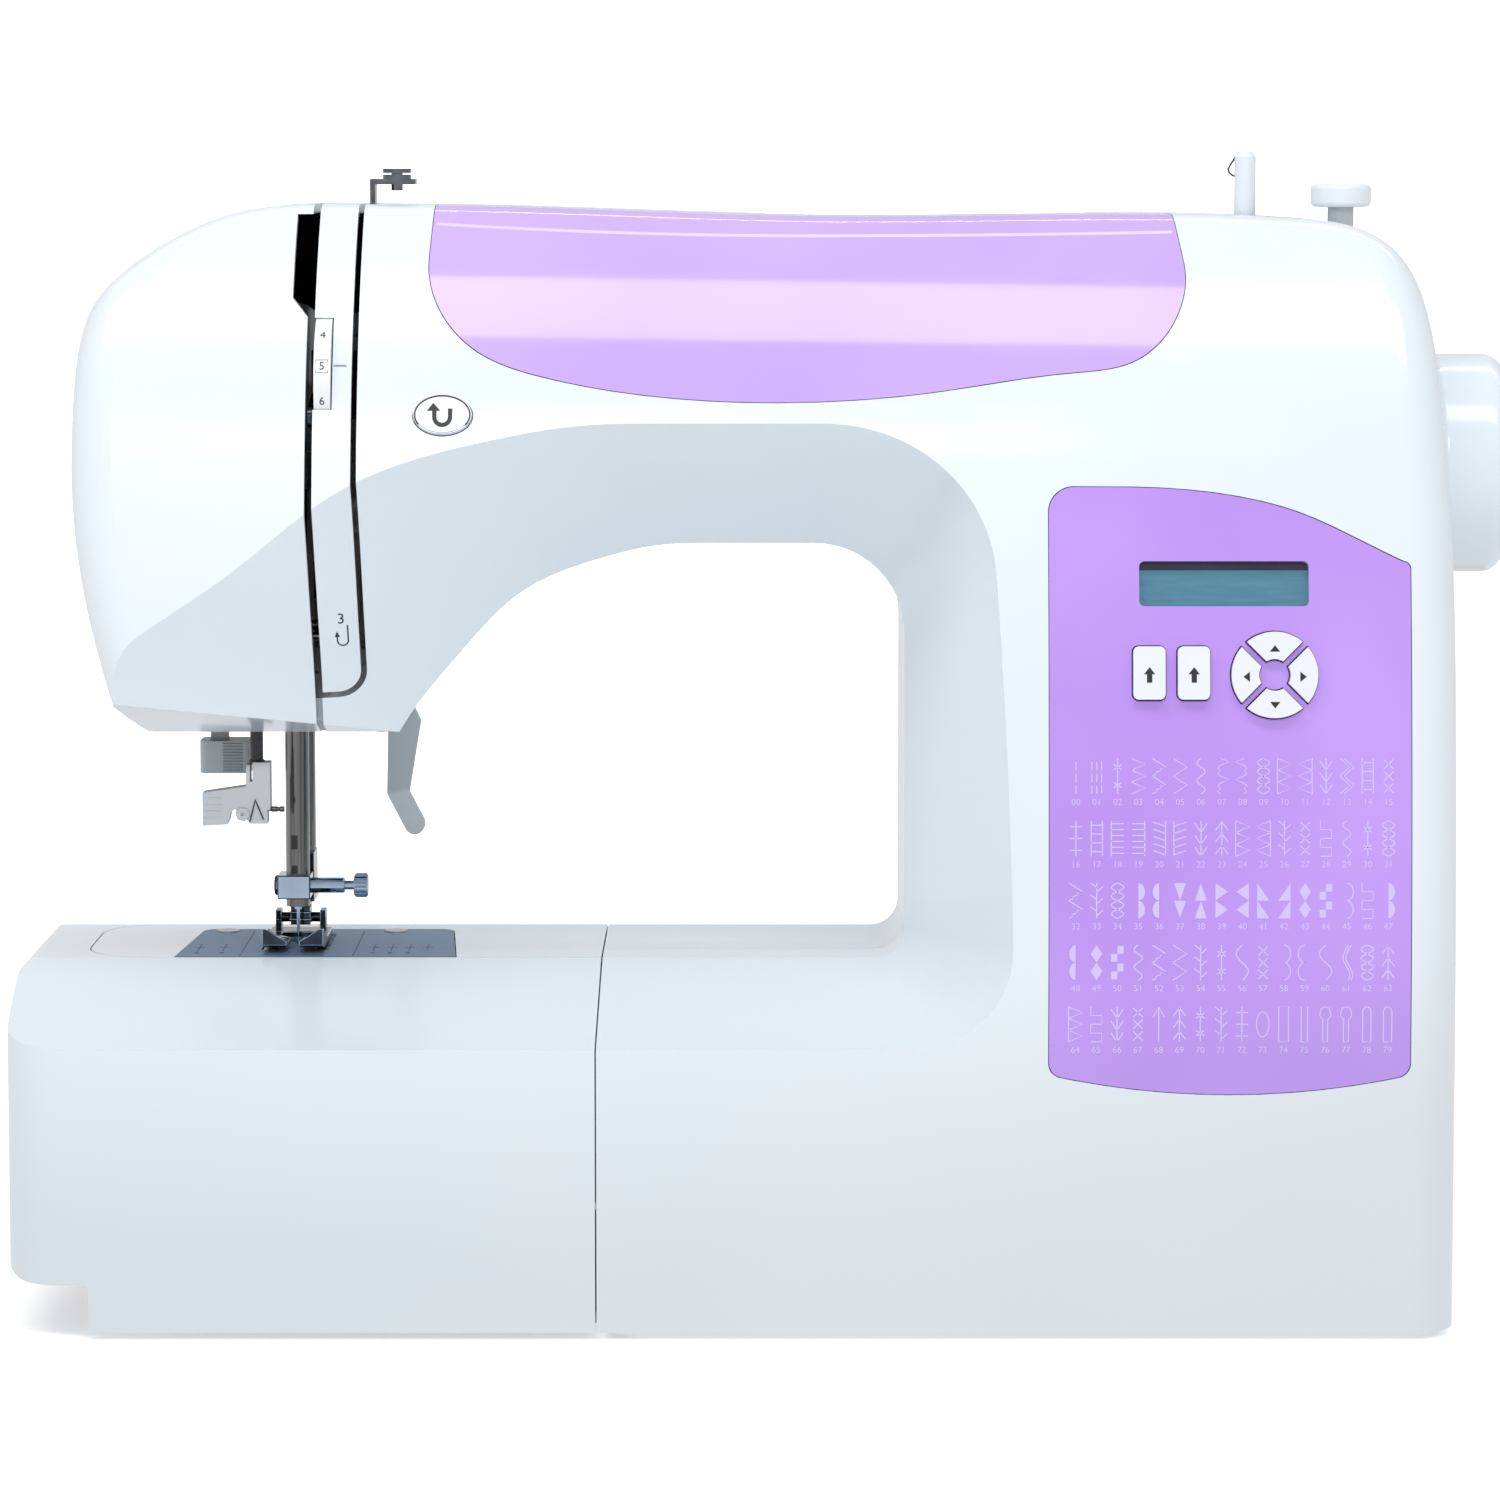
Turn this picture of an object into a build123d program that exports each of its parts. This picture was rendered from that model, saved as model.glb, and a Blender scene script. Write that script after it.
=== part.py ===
"""A computerised domestic sewing machine with a free arm and a slide-on extension table.

Millimetres. X runs along the machine to the operator's right, Y away from the operator, Z up.
The origin is on the table top, under the middle of the machine's box.
"""
import os
from math import asin, atan2, cos, degrees, hypot, pi, sin

from build123d import *

os.makedirs("parts", exist_ok=True)

# Clearances shared by every fit
SEAM = 0.4          # gap at a parting line between two mouldings
FIT = 0.05          # radial running clearance of a shaft in its bore
SLIDE = 0.35        # clearance around a key or a lever that moves in an opening

# Moulded housing: the front face stands upright, leans back, then rolls over the shoulder
WALL = 2.5
FRONT_Y = -80.0
LEAN_Z = 70.0       # height where the front starts to lean
SHOULDER_Z = 235.0  # height where the lean turns into the roll
SHOULDER_IN = 17.0  # how far the front has leaned back by then
ROLL_R = 124.0
RIGHT_X = 184.5
HEAD_X = -186.0     # left end of the head
TOP_Z = 301.3       # top of the arm over the head
TOP_RIGHT_Z = 297.2
EDGE_R = 12.0       # rounding between the front, the ends and the top
BASE_X = -45.0      # left end of the base, where the extension table meets it
PART_Y = 2.0        # parting plane between the front and rear covers
FOOT_H = 2.0

# Throat: a straight tunnel whose front and rear edges flare out as a broad bevel
BED_Z = 93.0
BED_FRONT_Y = -15.0
BED_REAR_Y = 47.6
BED_DROP = 14.7     # fall of the bed bevel from its crease to the front face
ARM_Z = 208.3
ARM_RISE = 50.1     # rise of the arm bevel to the front face
COLUMN_X = 38.5
COLUMN_FLARE = 27.5
HEAD_BOTTOM_Z = 156.0
REAR_FLARE = 0.5    # rear bevel as a share of the front one

# Head: face cover, thread guide strip and the two thread slots
FACE_X = -122.6     # right edge of the face cover
SLOT_W = 1.8        # left slot, which the take-up lever moves in
STRIP_W = 10.4      # thread guide strip
SLOT_RIGHT_W = 1.6
SLOT_Z = 168.8      # lower end of the strip
STRIP_CORNER_R = 6.0
HEAD_HOLE_Y = 32.0  # rear edge of the opening under the head

# Lilac panels, inlaid in the front cover
PANEL_D = 1.4
PANEL_SET = 0.15    # how far a panel lies below the cover's face
CONTROL_X0 = 75.0
CONTROL_X1 = 171.3
CONTROL_Z0 = 71.5
CONTROL_Z1 = 227.2
CONTROL_SLOPE = 19.6
CONTROL_SAG = 5.3

# Display, keys and the reverse button
DISPLAY_X = 121.6
DISPLAY_Z = 201.6
DISPLAY_W = 45.0
DISPLAY_H = 12.0
DISPLAY_LAP = 2.0   # the window is this much larger all round than its opening
WINDOW_T = 1.5
BOARD_D = 9.0       # depth of the circuit board behind the face
BOARD_T = 1.6
BOARD_W = 84.0
BOARD_H = 64.0
KEY_W = 8.5
KEY_H = 14.1
KEY_Z = 178.1
KEY_LEFT_X = 101.6
KEY_RIGHT_X = 113.4
KEY_PROUD = 2.0
KEY_DEPTH = 5.5
PAD_X = 134.8
PAD_Z = 177.6
PAD_R = 11.45
PAD_IN_R = 4.2
PAD_GAP = 2.0
REVERSE_X = -85.9
REVERSE_Z = 245.7
REVERSE_W = 15.6
REVERSE_H = 10.7

# Tension dial in the thread guide strip
DIAL_Z = 259.6      # middle of the dial's window
DIAL_R = 20.0
DIAL_W = 4.4
DIAL_PROUD = 3.8
DIAL_PIN_R = 2.5

# Base plate, feet and screws
PLATE_T = 3.0
BASE_LEFT_X = -172.0
BASE_LEFT_Y = 68.0
FOOT_R = 9.0
SCREW_R = 1.9
SCREW_HEAD_R = 3.3
SCREW_HEAD_H = 1.3
SCREW_L = 7.0

# Free arm, shuttle door and extension table
ARM_END_X = -189.0
ARM_BOTTOM_Z = 24.0
ARM_WALL = 3.0
ARM_CORNER_R = 18.0
DOOR_X0 = -160.0
DOOR_X1 = -103.0
DOOR_Z0 = 34.0
DOOR_Z1 = 84.0
DOOR_PIN_R = 0.8
TABLE_X = -206.0
TABLE_WALL = 2.2
TABLE_CORNER_R = 18.0
TABLE_TOP_R = 4.0
TABLE_BOW = 2.5     # how far the table's end bulges outwards
TABLE_STEP_X = -180.5
TABLE_STEP_Z = 14.8

# Needle plate and feed dog
NEEDLE_PLATE_T = 2.0
NEEDLE_PLATE_PROUD = 0.2
NEEDLE_PLATE_W = 78.0
NEEDLE_PLATE_REAR_W = 71.0
NEEDLE_PLATE_Y1 = 37.0
STITCH_W = 7.0
FEED_ROW_X = 7.4    # middle of each outer feed row from the needle
FEED_ROW_W = 3.2
FEED_L = 30.0
FEED_LIFT = 1.2

# Needle bar, rocking frame, crank and take-up lever
NEEDLE_X = -131.5
NEEDLE_Y = 10.0
STROKE = 30.0
NEEDLE_BAR_R = 3.35
NEEDLE_BAR_Z0 = 104.0
NEEDLE_BAR_Z1 = 236.0
NEEDLE_TIP_Z = 79.0
ROCK_Z = 266.0
ROCK_PIN_R = 4.0
ROCK_T = 3.3
STUD_Z = 182.0
LINK_L = 32.0
LINK_T = 3.8
TAKE_UP_Y = 20.0
TAKE_UP_Z = 258.0
TAKE_UP_L = 75.0
TAKE_UP_T = 1.2
TAKE_UP_REST = 10.0  # degrees below level
TAKE_UP_PIN_R = 2.5

# Main shaft, lower shaft, belts, motor and handwheel
SHAFT_Y = 10.0
SHAFT_Z = 229.0
SHAFT_R = 5.0
LOWER_Z = 36.0
BUSH_R = 7.5
BUSH_L = 12.0
CRANK_X = -104.0
CRANK_T = 8.0
CRANK_R = 24.0
TIMING_X = 66.0
TIMING_W = 8.0
TIMING_R = 11.0
BELT_T = 1.5
BELT_GAP = 0.3
DRIVE_X = 158.0
DRIVE_W = 9.0
DRIVE_R = 28.0
MOTOR_Y = 5.0
MOTOR_Z = 60.0
MOTOR_R = 26.0
MOTOR_L = 58.0
MOTOR_SHAFT_R = 2.5
MOTOR_PULLEY_R = 7.0
WHEEL_R = 30.5
WHEEL_X0 = 185.2
WHEEL_X1 = 206.0

# Presser bar, its spring, holder, foot and lifter
PRESSER_Y = 24.0
PRESSER_R = 4.0
PRESSER_Z0 = 108.0
PRESSER_Z1 = 254.0
COLLAR_Z = 190.0
COLLAR_H = 10.0
COLLAR_R = 6.0
SPRING_Z1 = 236.0
SPRING_WIRE_R = 0.6
SPRING_TURNS = 7
FOOT_W = 17.7
FOOT_SOLE_T = 1.8
FOOT_Y0 = -9.0
FOOT_Y1 = 22.5
FOOT_PIN_R = 1.4
LIFTER_X = -112.0
LIFTER_Z = 168.0
LIFTER_T = 4.5
LIFTER_PIN_R = 3.0
LIFTER_END_Z = 121.6

# Threader and buttonhole lever under the head
THREADER_X = -141.6
THREADER_Y = -3.0
THREADER_ROD_R = 1.8
THREADER_Z0 = 126.8
THREADER_DROP = 24.0
HOLE_LEVER_X = -154.5
HOLE_LEVER_Z0 = 140.5
HOLE_LEVER_DROP = 25.0
HOLE_STEM_W = 5.0
HOLE_STEM_T = 3.0

# Hook, race and bobbin case
HOOK_Z = 60.0
RACE_R = 22.0
RACE_T = 3.0
HOOK_GAP = 0.4
HOOK_BACK_Y = 16.0
HOOK_SHAFT_R = 4.0
CASE_R = 13.5

# Frame casting
FRAME_Y = 34.0
FRAME_T = 8.0
FRAME_TOP_Z = 270.0
FRAME_WINDOW = 40.0
FRAME_LEFT_X = -164.0
COLUMN_FRAME_X0 = 70.0
COLUMN_FRAME_X1 = 154.0

# Top of the arm: thread guide, bobbin winder, spool pin and carrying handle
GUIDE_X0 = -108.3
GUIDE_W = 12.5
GUIDE_H = 9.7
GUIDE_T = 1.5
GUIDE_DISC_R = 3.9
GUIDE_DISC_T = 1.4
WINDER_X = 133.7
WINDER_Y = 10.0
WINDER_R = 3.0
WINDER_TOP_Z = 315.7
WINDER_ARM_L = 17.0
WINDER_ARM_Z = 280.0
WINDER_ARM_T = 5.0
WINDER_SWING = 26.0
STOP_X = 160.4
STOP_R = 8.45
STOP_Z0 = 300.3
STOP_H = 6.4
STOP_STEM_R = 3.65
TROUGH_X0 = 0.0
TROUGH_X1 = 90.0
TROUGH_R = 16.0
TROUGH_Y = 20.0
SPOOL_R = 2.5
SPOOL_Z = 295.0
HANDLE_Y = 60.0
HANDLE_Z = 268.0
HANDLE_X = 60.0
HANDLE_L = 57.0
HANDLE_W = 9.0
HANDLE_PIN_R = 3.0
HANDLE_TILT = 16.0

# Power inlet with its rocker switch
INLET_Y0 = 22.0
INLET_W = 36.0
INLET_Z0 = 16.0
INLET_H = 44.0
INLET_D = 18.0
ROCKER_W = 19.0
ROCKER_H = 13.0
ROCKER_PIN_R = 1.5

# Vents behind the motor
VENT_COUNT = 9
VENT_X = 60.0
VENT_STEP = 7.0
VENT_W = 2.6
VENT_Z = 30.0
VENT_H = 32.0

# Sizes that follow from the ones above
LEAN_R = ((SHOULDER_Z - LEAN_Z) ** 2 + SHOULDER_IN ** 2) / (2 * SHOULDER_IN)
LEAN = asin((SHOULDER_Z - LEAN_Z) / LEAN_R)
ROLL_Y = FRONT_Y + LEAN_R - (LEAN_R - ROLL_R) * cos(LEAN)
ROLL_Z = LEAN_Z + (LEAN_R - ROLL_R) * sin(LEAN)
STRIP_X0 = FACE_X + SLOT_W
STRIP_X1 = STRIP_X0 + STRIP_W
COVER_X = STRIP_X1 + SLOT_RIGHT_W
FAR = 400.0
PLATE_TOP_Z = BED_Z + NEEDLE_PLATE_PROUD
PLATE_Z = PLATE_TOP_Z - NEEDLE_PLATE_T
SOLE_Z = PLATE_TOP_Z + 1.0
FRAME_BACK_Y = FRAME_Y + FRAME_T
BASE_TOP_Z = FOOT_H + PLATE_T
FREE_Y0 = BED_FRONT_Y + SEAM
FREE_Y1 = BED_REAR_Y - SEAM


def box(x0, x1, y0, y1, z0, z1):
    """A block between two corners."""
    size = Box(abs(x1 - x0), abs(y1 - y0), abs(z1 - z0))
    return Pos((x0 + x1) / 2, (y0 + y1) / 2, (z0 + z1) / 2) * size


def rod_x(x0, x1, y, z, r):
    """A round bar along X."""
    return Pos((x0 + x1) / 2, y, z) * Rot(0, 90, 0) * Cylinder(r, abs(x1 - x0))


def rod_y(y0, y1, x, z, r):
    """A round bar along Y."""
    return Pos(x, (y0 + y1) / 2, z) * Rot(90, 0, 0) * Cylinder(r, abs(y1 - y0))


def rod_z(z0, z1, x, y, r):
    """A round bar along Z."""
    return Pos(x, y, (z0 + z1) / 2) * Cylinder(r, abs(z1 - z0))


def prism_y(face, y0, y1):
    """A face drawn in X and Z, drawn out along Y."""
    plane = Plane((0, y0, 0), x_dir=(1, 0, 0), z_dir=(0, -1, 0))
    return extrude(plane * face, amount=y1 - y0, dir=(0, 1, 0))


def prism_x(face, x0, x1):
    """A face drawn in Y and Z, drawn out along X."""
    plane = Plane((x0, 0, 0), x_dir=(0, 1, 0), z_dir=(1, 0, 0))
    return extrude(plane * face, amount=x1 - x0, dir=(1, 0, 0))


def prism_z(face, z0, z1):
    """A face drawn in X and Y, drawn out along Z."""
    return extrude(Pos(0, 0, z0) * face, amount=z1 - z0, dir=(0, 0, 1))


def polygon(*points):
    """A flat face through corner points."""
    return make_face(Polyline(*points, close=True))


def save(shape, name):
    """Write one sub-part."""
    export_step(shape, f"parts/{name}.step")
    return shape


# Housing
def wall_at(z, inset=0.0):
    """Depth of the front face, and its lean in radians, at a height."""
    lean_r = LEAN_R - inset
    roll_r = ROLL_R - inset
    if z <= LEAN_Z:
        return FRONT_Y + inset, 0.0
    if z <= LEAN_Z + lean_r * sin(LEAN):
        a = asin((z - LEAN_Z) / lean_r)
        return FRONT_Y + LEAN_R - lean_r * cos(a), a
    a = asin((z - ROLL_Z) / roll_r)
    return ROLL_Y - roll_r * cos(a), a


def face_plane(x, z):
    """A plane on the front face, its Z pointing out towards the operator."""
    y, a = wall_at(z)
    return Plane((x, y, z), x_dir=(1, 0, 0), z_dir=(0, -cos(a), sin(a)))


def profile(inset):
    """End view of the housing: front, shoulder and their mirror image at the back."""
    low = -10.0
    high = TOP_Z + 9.0
    turn = LEAN_Z + (LEAN_R - inset) * sin(LEAN)
    heights = [low, LEAN_Z, (LEAN_Z + turn) / 2, turn, (turn + high) / 2, high]
    p = [(wall_at(z, inset)[0], z) for z in heights]
    front = [Line(p[0], p[1]), ThreePointArc(p[1], p[2], p[3]), ThreePointArc(p[3], p[4], p[5])]
    rear = [mirror(edge, about=Plane.YZ) for edge in front]
    top = Line(p[5], (-p[5][0], high))
    bottom = Line(p[0], (-p[0][0], low))
    return make_face([*front, top, *rear, bottom])


def silhouette(inset):
    """Front view of the housing, with the head's end run on down below the head."""
    low = -10.0
    right = RIGHT_X - inset
    left = HEAD_X + inset
    top = TOP_Z - inset
    top_right = TOP_RIGHT_Z - inset
    soft = 0.7 * inset
    foot_x = HEAD_X + 29.0 + inset
    corner_x = RIGHT_X - 34.5
    crown_x = HEAD_X + 84.0
    widest = LEAN_Z + (LEAN_R - inset) * sin(LEAN)
    rise = (-1, 0.08)
    edges = [
        Line((foot_x, low), (right, low)),
        Line((right, low), (right, 150.0)),
        Spline((right, 150.0), (right - 3.3, 255.0), (RIGHT_X - 12.5 - soft, TOP_RIGHT_Z - 9.2 - soft),
               (corner_x, top_right), tangents=[(0, 1), rise]),
        Spline((corner_x, top_right), (20.0, TOP_RIGHT_Z + 1.1 - inset), (crown_x, top),
               tangents=[rise, (-1, 0)]),
        Spline((crown_x, top), (HEAD_X + 34.0 + 0.2 * inset, TOP_Z - 4.8 - inset),
               (HEAD_X + 12.0 + soft, TOP_Z - 18.3 - soft), (left, widest), tangents=[(-1, 0), (0, -1)]),
        Spline((left, widest), (left + 12.5, 166.0), (foot_x, 120.0), tangents=[(0, -1), (0.35, -1)]),
        Line((foot_x, 120.0), (foot_x, low)),
    ]
    return make_face(edges)


def rounded_edges(body):
    """The front and rear rims of the housing, from the head's end round to the right foot."""
    rims = []
    for edge in body.edges():
        b = edge.bounding_box()
        level = edge.geom_type == GeomType.LINE and b.size.Z < 0.001
        on_rim = b.max.Z > 130.0 or b.min.X > 150.0
        if on_rim and not level and b.size.X + b.size.Z > 1.0:
            rims.append(edge)
    return rims


def envelope(inset):
    """The housing before the throat is cut, offset inwards."""
    body = prism_y(silhouette(inset), -FAR, FAR) & prism_x(profile(inset), -FAR, FAR)
    return fillet(rounded_edges(body), EDGE_R - inset)


def throat_outline(flare, grow):
    """Edge of the throat at one depth: flare 0 in the tunnel, 1 at the front face."""
    tunnel = [(-101, 0), (-84, 22), (-66, 39.5), (-42, 49), (-18, ARM_Z - HEAD_BOTTOM_Z)]
    mouth = [(-193.7, 16.6), (-155.5, 52.3), (-126.7, 79.7), (-80.7, 97.4), (-39.7, 102.4)]
    points = []
    for a, b in zip(tunnel, mouth):
        x = a[0] + (b[0] - a[0]) * flare - 0.6 * grow
        z = HEAD_BOTTOM_Z + a[1] + (b[1] - a[1]) * flare + 0.8 * grow
        points.append((x, z))
    roof = ARM_Z + ARM_RISE * flare + grow
    points[-1] = (points[-1][0], roof)
    side = COLUMN_X + COLUMN_FLARE * flare + grow
    bed = BED_Z - BED_DROP * flare - grow
    r_top = 25.0 + 25.0 * flare + grow
    r_low = 8.0 + 19.0 * flare + grow
    start = (-FAR, HEAD_BOTTOM_Z + 9.0 * flare + grow)
    edges = [
        Line(start, points[0]),
        Spline(*points, tangents=[(0.5, 0.87), (1, 0)]),
        Line(points[-1], (side - r_top, roof)),
        RadiusArc((side - r_top, roof), (side, roof - r_top), r_top),
        Line((side, roof - r_top), (side, bed + r_low)),
        RadiusArc((side, bed + r_low), (side - r_low, bed), r_low),
        Line((side - r_low, bed), (-FAR, bed)),
        Line((-FAR, bed), start),
    ]
    return make_face(edges)


def throat(grow):
    """The opening under the arm, with its bevelled front and rear mouths."""
    reach = 15.0
    front = (BED_FRONT_Y - FRONT_Y + reach) / (BED_FRONT_Y - FRONT_Y)
    rear = REAR_FLARE * (-FRONT_Y - BED_REAR_Y + reach) / (-FRONT_Y - BED_REAR_Y)
    places = [(FRONT_Y - reach, front), (BED_FRONT_Y, 0.0), (BED_REAR_Y, 0.0), (-FRONT_Y + reach, rear)]
    sections = []
    for y, flare in places:
        plane = Plane((0, y, 0), x_dir=(1, 0, 0), z_dir=(0, -1, 0))
        sections.append(plane * throat_outline(flare, grow))
    return loft(sections, ruled=True)


def housing(inset):
    """The housing as a solid, offset inwards; only the outermost one is cut off at the feet."""
    body = envelope(inset) - throat(inset)
    body -= box(-FAR, BASE_X + inset, -FAR, FAR, -FAR, BED_Z + 20.0)
    if inset == 0.0:
        body -= box(-FAR, FAR, -FAR, FAR, -FAR, FOOT_H)
    return body


# Lilac panels
def arm_panel_face(inset):
    """Outline of the arm panel: a long wave that runs up over the top edge."""
    left = [(-90.7, 287.0), (-88.2, 274.8), (-78.5, 263.3), (-59.6, 255.7), (-28.8, 250.5), (8.6, 249.0)]
    right = [(47.5, 252.0), (81.0, 256.7), (99.8, 260.4), (110.7, 272.2), (113.0, 285.0)]
    low = left + right
    middle = (low[0][0] + low[-1][0]) / 2
    half = low[-1][0] - middle
    points = [(x - inset * (x - middle) / half, z + inset) for x, z in low]
    high = TOP_Z + 9.0
    sides = Polyline(points[-1], (points[-1][0] - 4.3, high), (points[0][0] + 1.5, high), points[0])
    return make_face([Spline(*points), sides])


def control_panel_face(inset):
    """Outline of the control panel: a sloping top edge and a sagging lower edge."""
    x0 = CONTROL_X0 + inset
    x1 = CONTROL_X1 - inset
    z0 = CONTROL_Z0 + inset
    z1 = CONTROL_Z1 - inset
    low = z1 - CONTROL_SLOPE
    mid = (x0 + x1) / 2
    edges = [
        ThreePointArc((x0, z0), (mid, z0 - CONTROL_SAG), (x1, z0)),
        Line((x1, z0), (x1, low - 2.5)),
        ThreePointArc((x1, low - 2.5), (x1 - 0.4, low - 0.9), (x1 - 2.0, low)),
        Spline((x1 - 2.0, low), (x1 - 32.0, z1 - 5.9), (x1 - 50.6, z1 - 1.8), (x0 + 7.0, z1),
               tangents=[(-1, 0.45), (-1, 0)]),
        ThreePointArc((x0 + 7.0, z1), (x0 + 2.0, z1 - 2.0), (x0, z1 - 7.0)),
        Line((x0, z1 - 7.0), (x0, z0)),
    ]
    face = make_face(edges)
    corners = face.vertices().sort_by(Axis.Y)[:2]
    return fillet(corners, 4.0)


def oval(grow=0.0):
    """The reverse button's outline."""
    return Ellipse(REVERSE_W / 2 + grow, REVERSE_H / 2 + grow)


def pad_faces(grow=0.0):
    """The four quarters of the round direction pad, split along its diagonals."""
    ring = Circle(PAD_R + grow) - Circle(PAD_IN_R - grow)
    for turn in (45, -45):
        ring -= Rot(0, 0, turn) * Rectangle(4 * PAD_R, PAD_GAP - 2 * grow)
    return ring


def key_face(grow=0.0):
    """One of the two upright keys."""
    return RectangleRounded(KEY_W + 2 * grow, KEY_H + 2 * grow, 1.5 + grow)


def panel_openings():
    """Every opening through the front of the column: display, keys and pad."""
    depth = 12.0
    window = face_plane(DISPLAY_X, DISPLAY_Z) * RectangleRounded(DISPLAY_W, DISPLAY_H, 1.5)
    cuts = extrude(window, amount=depth, both=True)
    for x in (KEY_LEFT_X, KEY_RIGHT_X):
        cuts += extrude(face_plane(x, KEY_Z) * key_face(SLIDE), amount=depth, both=True)
    cuts += extrude(face_plane(PAD_X, PAD_Z) * pad_faces(SLIDE), amount=depth, both=True)
    return cuts


def inner_openings():
    """Openings in the covers' hidden walls: under the head, at the lifter and at the free arm."""
    cuts = box(-163.0, LIFTER_X, NEEDLE_Y - 20.0, HEAD_HOLE_Y, HEAD_BOTTOM_Z - 4.0, HEAD_BOTTOM_Z + 8.0)
    lifter_y = FRAME_Y - 0.5 - LIFTER_T / 2
    cuts += box(LIFTER_X - 12.0, LIFTER_X + 32.0, lifter_y - LIFTER_T / 2 - 1.0, FRAME_Y + 1.0,
                HEAD_BOTTOM_Z - 4.0, LIFTER_Z + 16.0)
    cuts += box(BASE_X - 1.0, BASE_X + WALL + 1.0, FREE_Y0 + ARM_WALL, FREE_Y1 - ARM_WALL,
                ARM_BOTTOM_Z + ARM_WALL, BED_Z - ARM_WALL)
    x, y = head_screw_place()
    cuts += rod_z(HEAD_BOTTOM_Z - 1.0, HEAD_BOTTOM_Z + 2 * WALL, x, y, SCREW_R)
    cuts += box(BASE_X - 1.0, BASE_X + WALL + 1.0, -BASE_LEFT_Y - SEAM, BASE_LEFT_Y + SEAM,
                -1.0, BASE_TOP_Z + SEAM)
    return cuts


def right_openings():
    """Openings in the right end: the main shaft, and the power inlet."""
    cuts = rod_x(RIGHT_X - 12.0, RIGHT_X + 5.0, SHAFT_Y, SHAFT_Z, SHAFT_R + 4.0)
    cuts += box(RIGHT_X - 6.0, RIGHT_X + 2.0, INLET_Y0, INLET_Y0 + INLET_W, INLET_Z0, INLET_Z0 + INLET_H)
    return cuts


def make_covers():
    """Front cover, rear cover, face cover, thread guide strip and the two lilac panels."""
    outside = housing(0.0)
    inside = housing(WALL)
    panel_floor = housing(PANEL_D)
    panel_top = housing(PANEL_SET)
    shell = outside - inside
    shell -= inner_openings()
    shell -= right_openings()

    arm_zone = prism_y(arm_panel_face(0.0), -FAR, PART_Y - 8.0)
    control_zone = prism_y(control_panel_face(0.0), -FAR, 0.0)
    arm_seat = prism_y(arm_panel_face(SEAM / 2), -FAR, PART_Y - 8.0 - SEAM / 2)
    control_seat = prism_y(control_panel_face(SEAM / 2), -FAR, 0.0)
    skin = outside - panel_floor
    inlay = panel_top - panel_floor

    front = shell & box(STRIP_X0, FAR, -FAR, PART_Y, -FAR, FAR)
    front -= prism_y(strip_face(SLOT_RIGHT_W), -FAR, PART_Y)
    front -= skin & arm_zone
    front -= skin & control_zone
    front -= panel_openings()
    front -= extrude(face_plane(REVERSE_X, REVERSE_Z) * oval(SLIDE), amount=10.0, both=True)
    save(front, "front_cover")
    save((panel_top & arm_seat) - panel_floor, "arm_panel")
    save((inlay & control_seat) - panel_openings(), "control_panel")

    strip = shell & prism_y(strip_face(0.0), -FAR, PART_Y - SEAM)
    save(thread_guide_strip(strip, inside), "thread_guide_cover")

    notch_top = TOP_Z - 2.5
    notch = polygon((FACE_X + 1, notch_top), (FACE_X - 4.2, notch_top), (FACE_X - 4.2, TOP_Z - 24.7),
                    (FACE_X + 1, TOP_Z - 31.0))
    face = shell & box(-FAR, FACE_X, -FAR, FAR, -FAR, FAR)
    face -= prism_y(notch, -FAR, -20.0)
    save(face, "face_cover")

    rear = shell & box(FACE_X + SEAM, FAR, PART_Y + SEAM, FAR, -FAR, FAR)
    save(rear_details(rear, outside, inside), "rear_cover")
    return outside


def strip_face(grow):
    """Outline of the thread guide strip, rounded at its lower right; grown, it is the slot's edge."""
    x0 = STRIP_X0 + SEAM / 2
    if grow > 0.0:
        x0 = STRIP_X0 - 1.0
    face = polygon((x0, FAR), (x0, SLOT_Z - grow), (STRIP_X1 + grow, SLOT_Z - grow), (STRIP_X1 + grow, FAR))
    corner = face.vertices().sort_by(Axis.Y)[:2].sort_by(Axis.X)[-1]
    return fillet(corner, STRIP_CORNER_R + grow)


def dial_axis():
    """Depth and height of the dial's axis, square behind the middle of its window."""
    y, lean = wall_at(DIAL_Z)
    back = DIAL_R - DIAL_PROUD
    return y + back * cos(lean), DIAL_Z - back * sin(lean)


def thread_guide_strip(strip, inside):
    """The narrow strip between the slots, with the dial's window and pin, and a tongue that holds it."""
    axis_y, axis_z = dial_axis()
    x0 = STRIP_X0 + SEAM / 2
    strip -= rod_x(x0 - 1, x0 + DIAL_W + 2 * SLIDE, axis_y, axis_z, DIAL_R + SLIDE)
    rib_x = STRIP_X1 - 2.5
    rib = box(rib_x, STRIP_X1 - 0.2, axis_y - 2 * DIAL_R, axis_y + 8, axis_z - 9, axis_z + 9) & inside
    pin = rod_x(x0 + 1.5, rib_x, axis_y, axis_z, DIAL_PIN_R)
    tongue_z = SLOT_Z + 40.0
    tongue_y, _ = wall_at(tongue_z + 12.0)
    tongue = box(x0 + 1, COVER_X + 10, tongue_y - 20, tongue_y + 6, tongue_z, tongue_z + 12.0) & inside
    return strip + rib + pin + tongue


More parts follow.
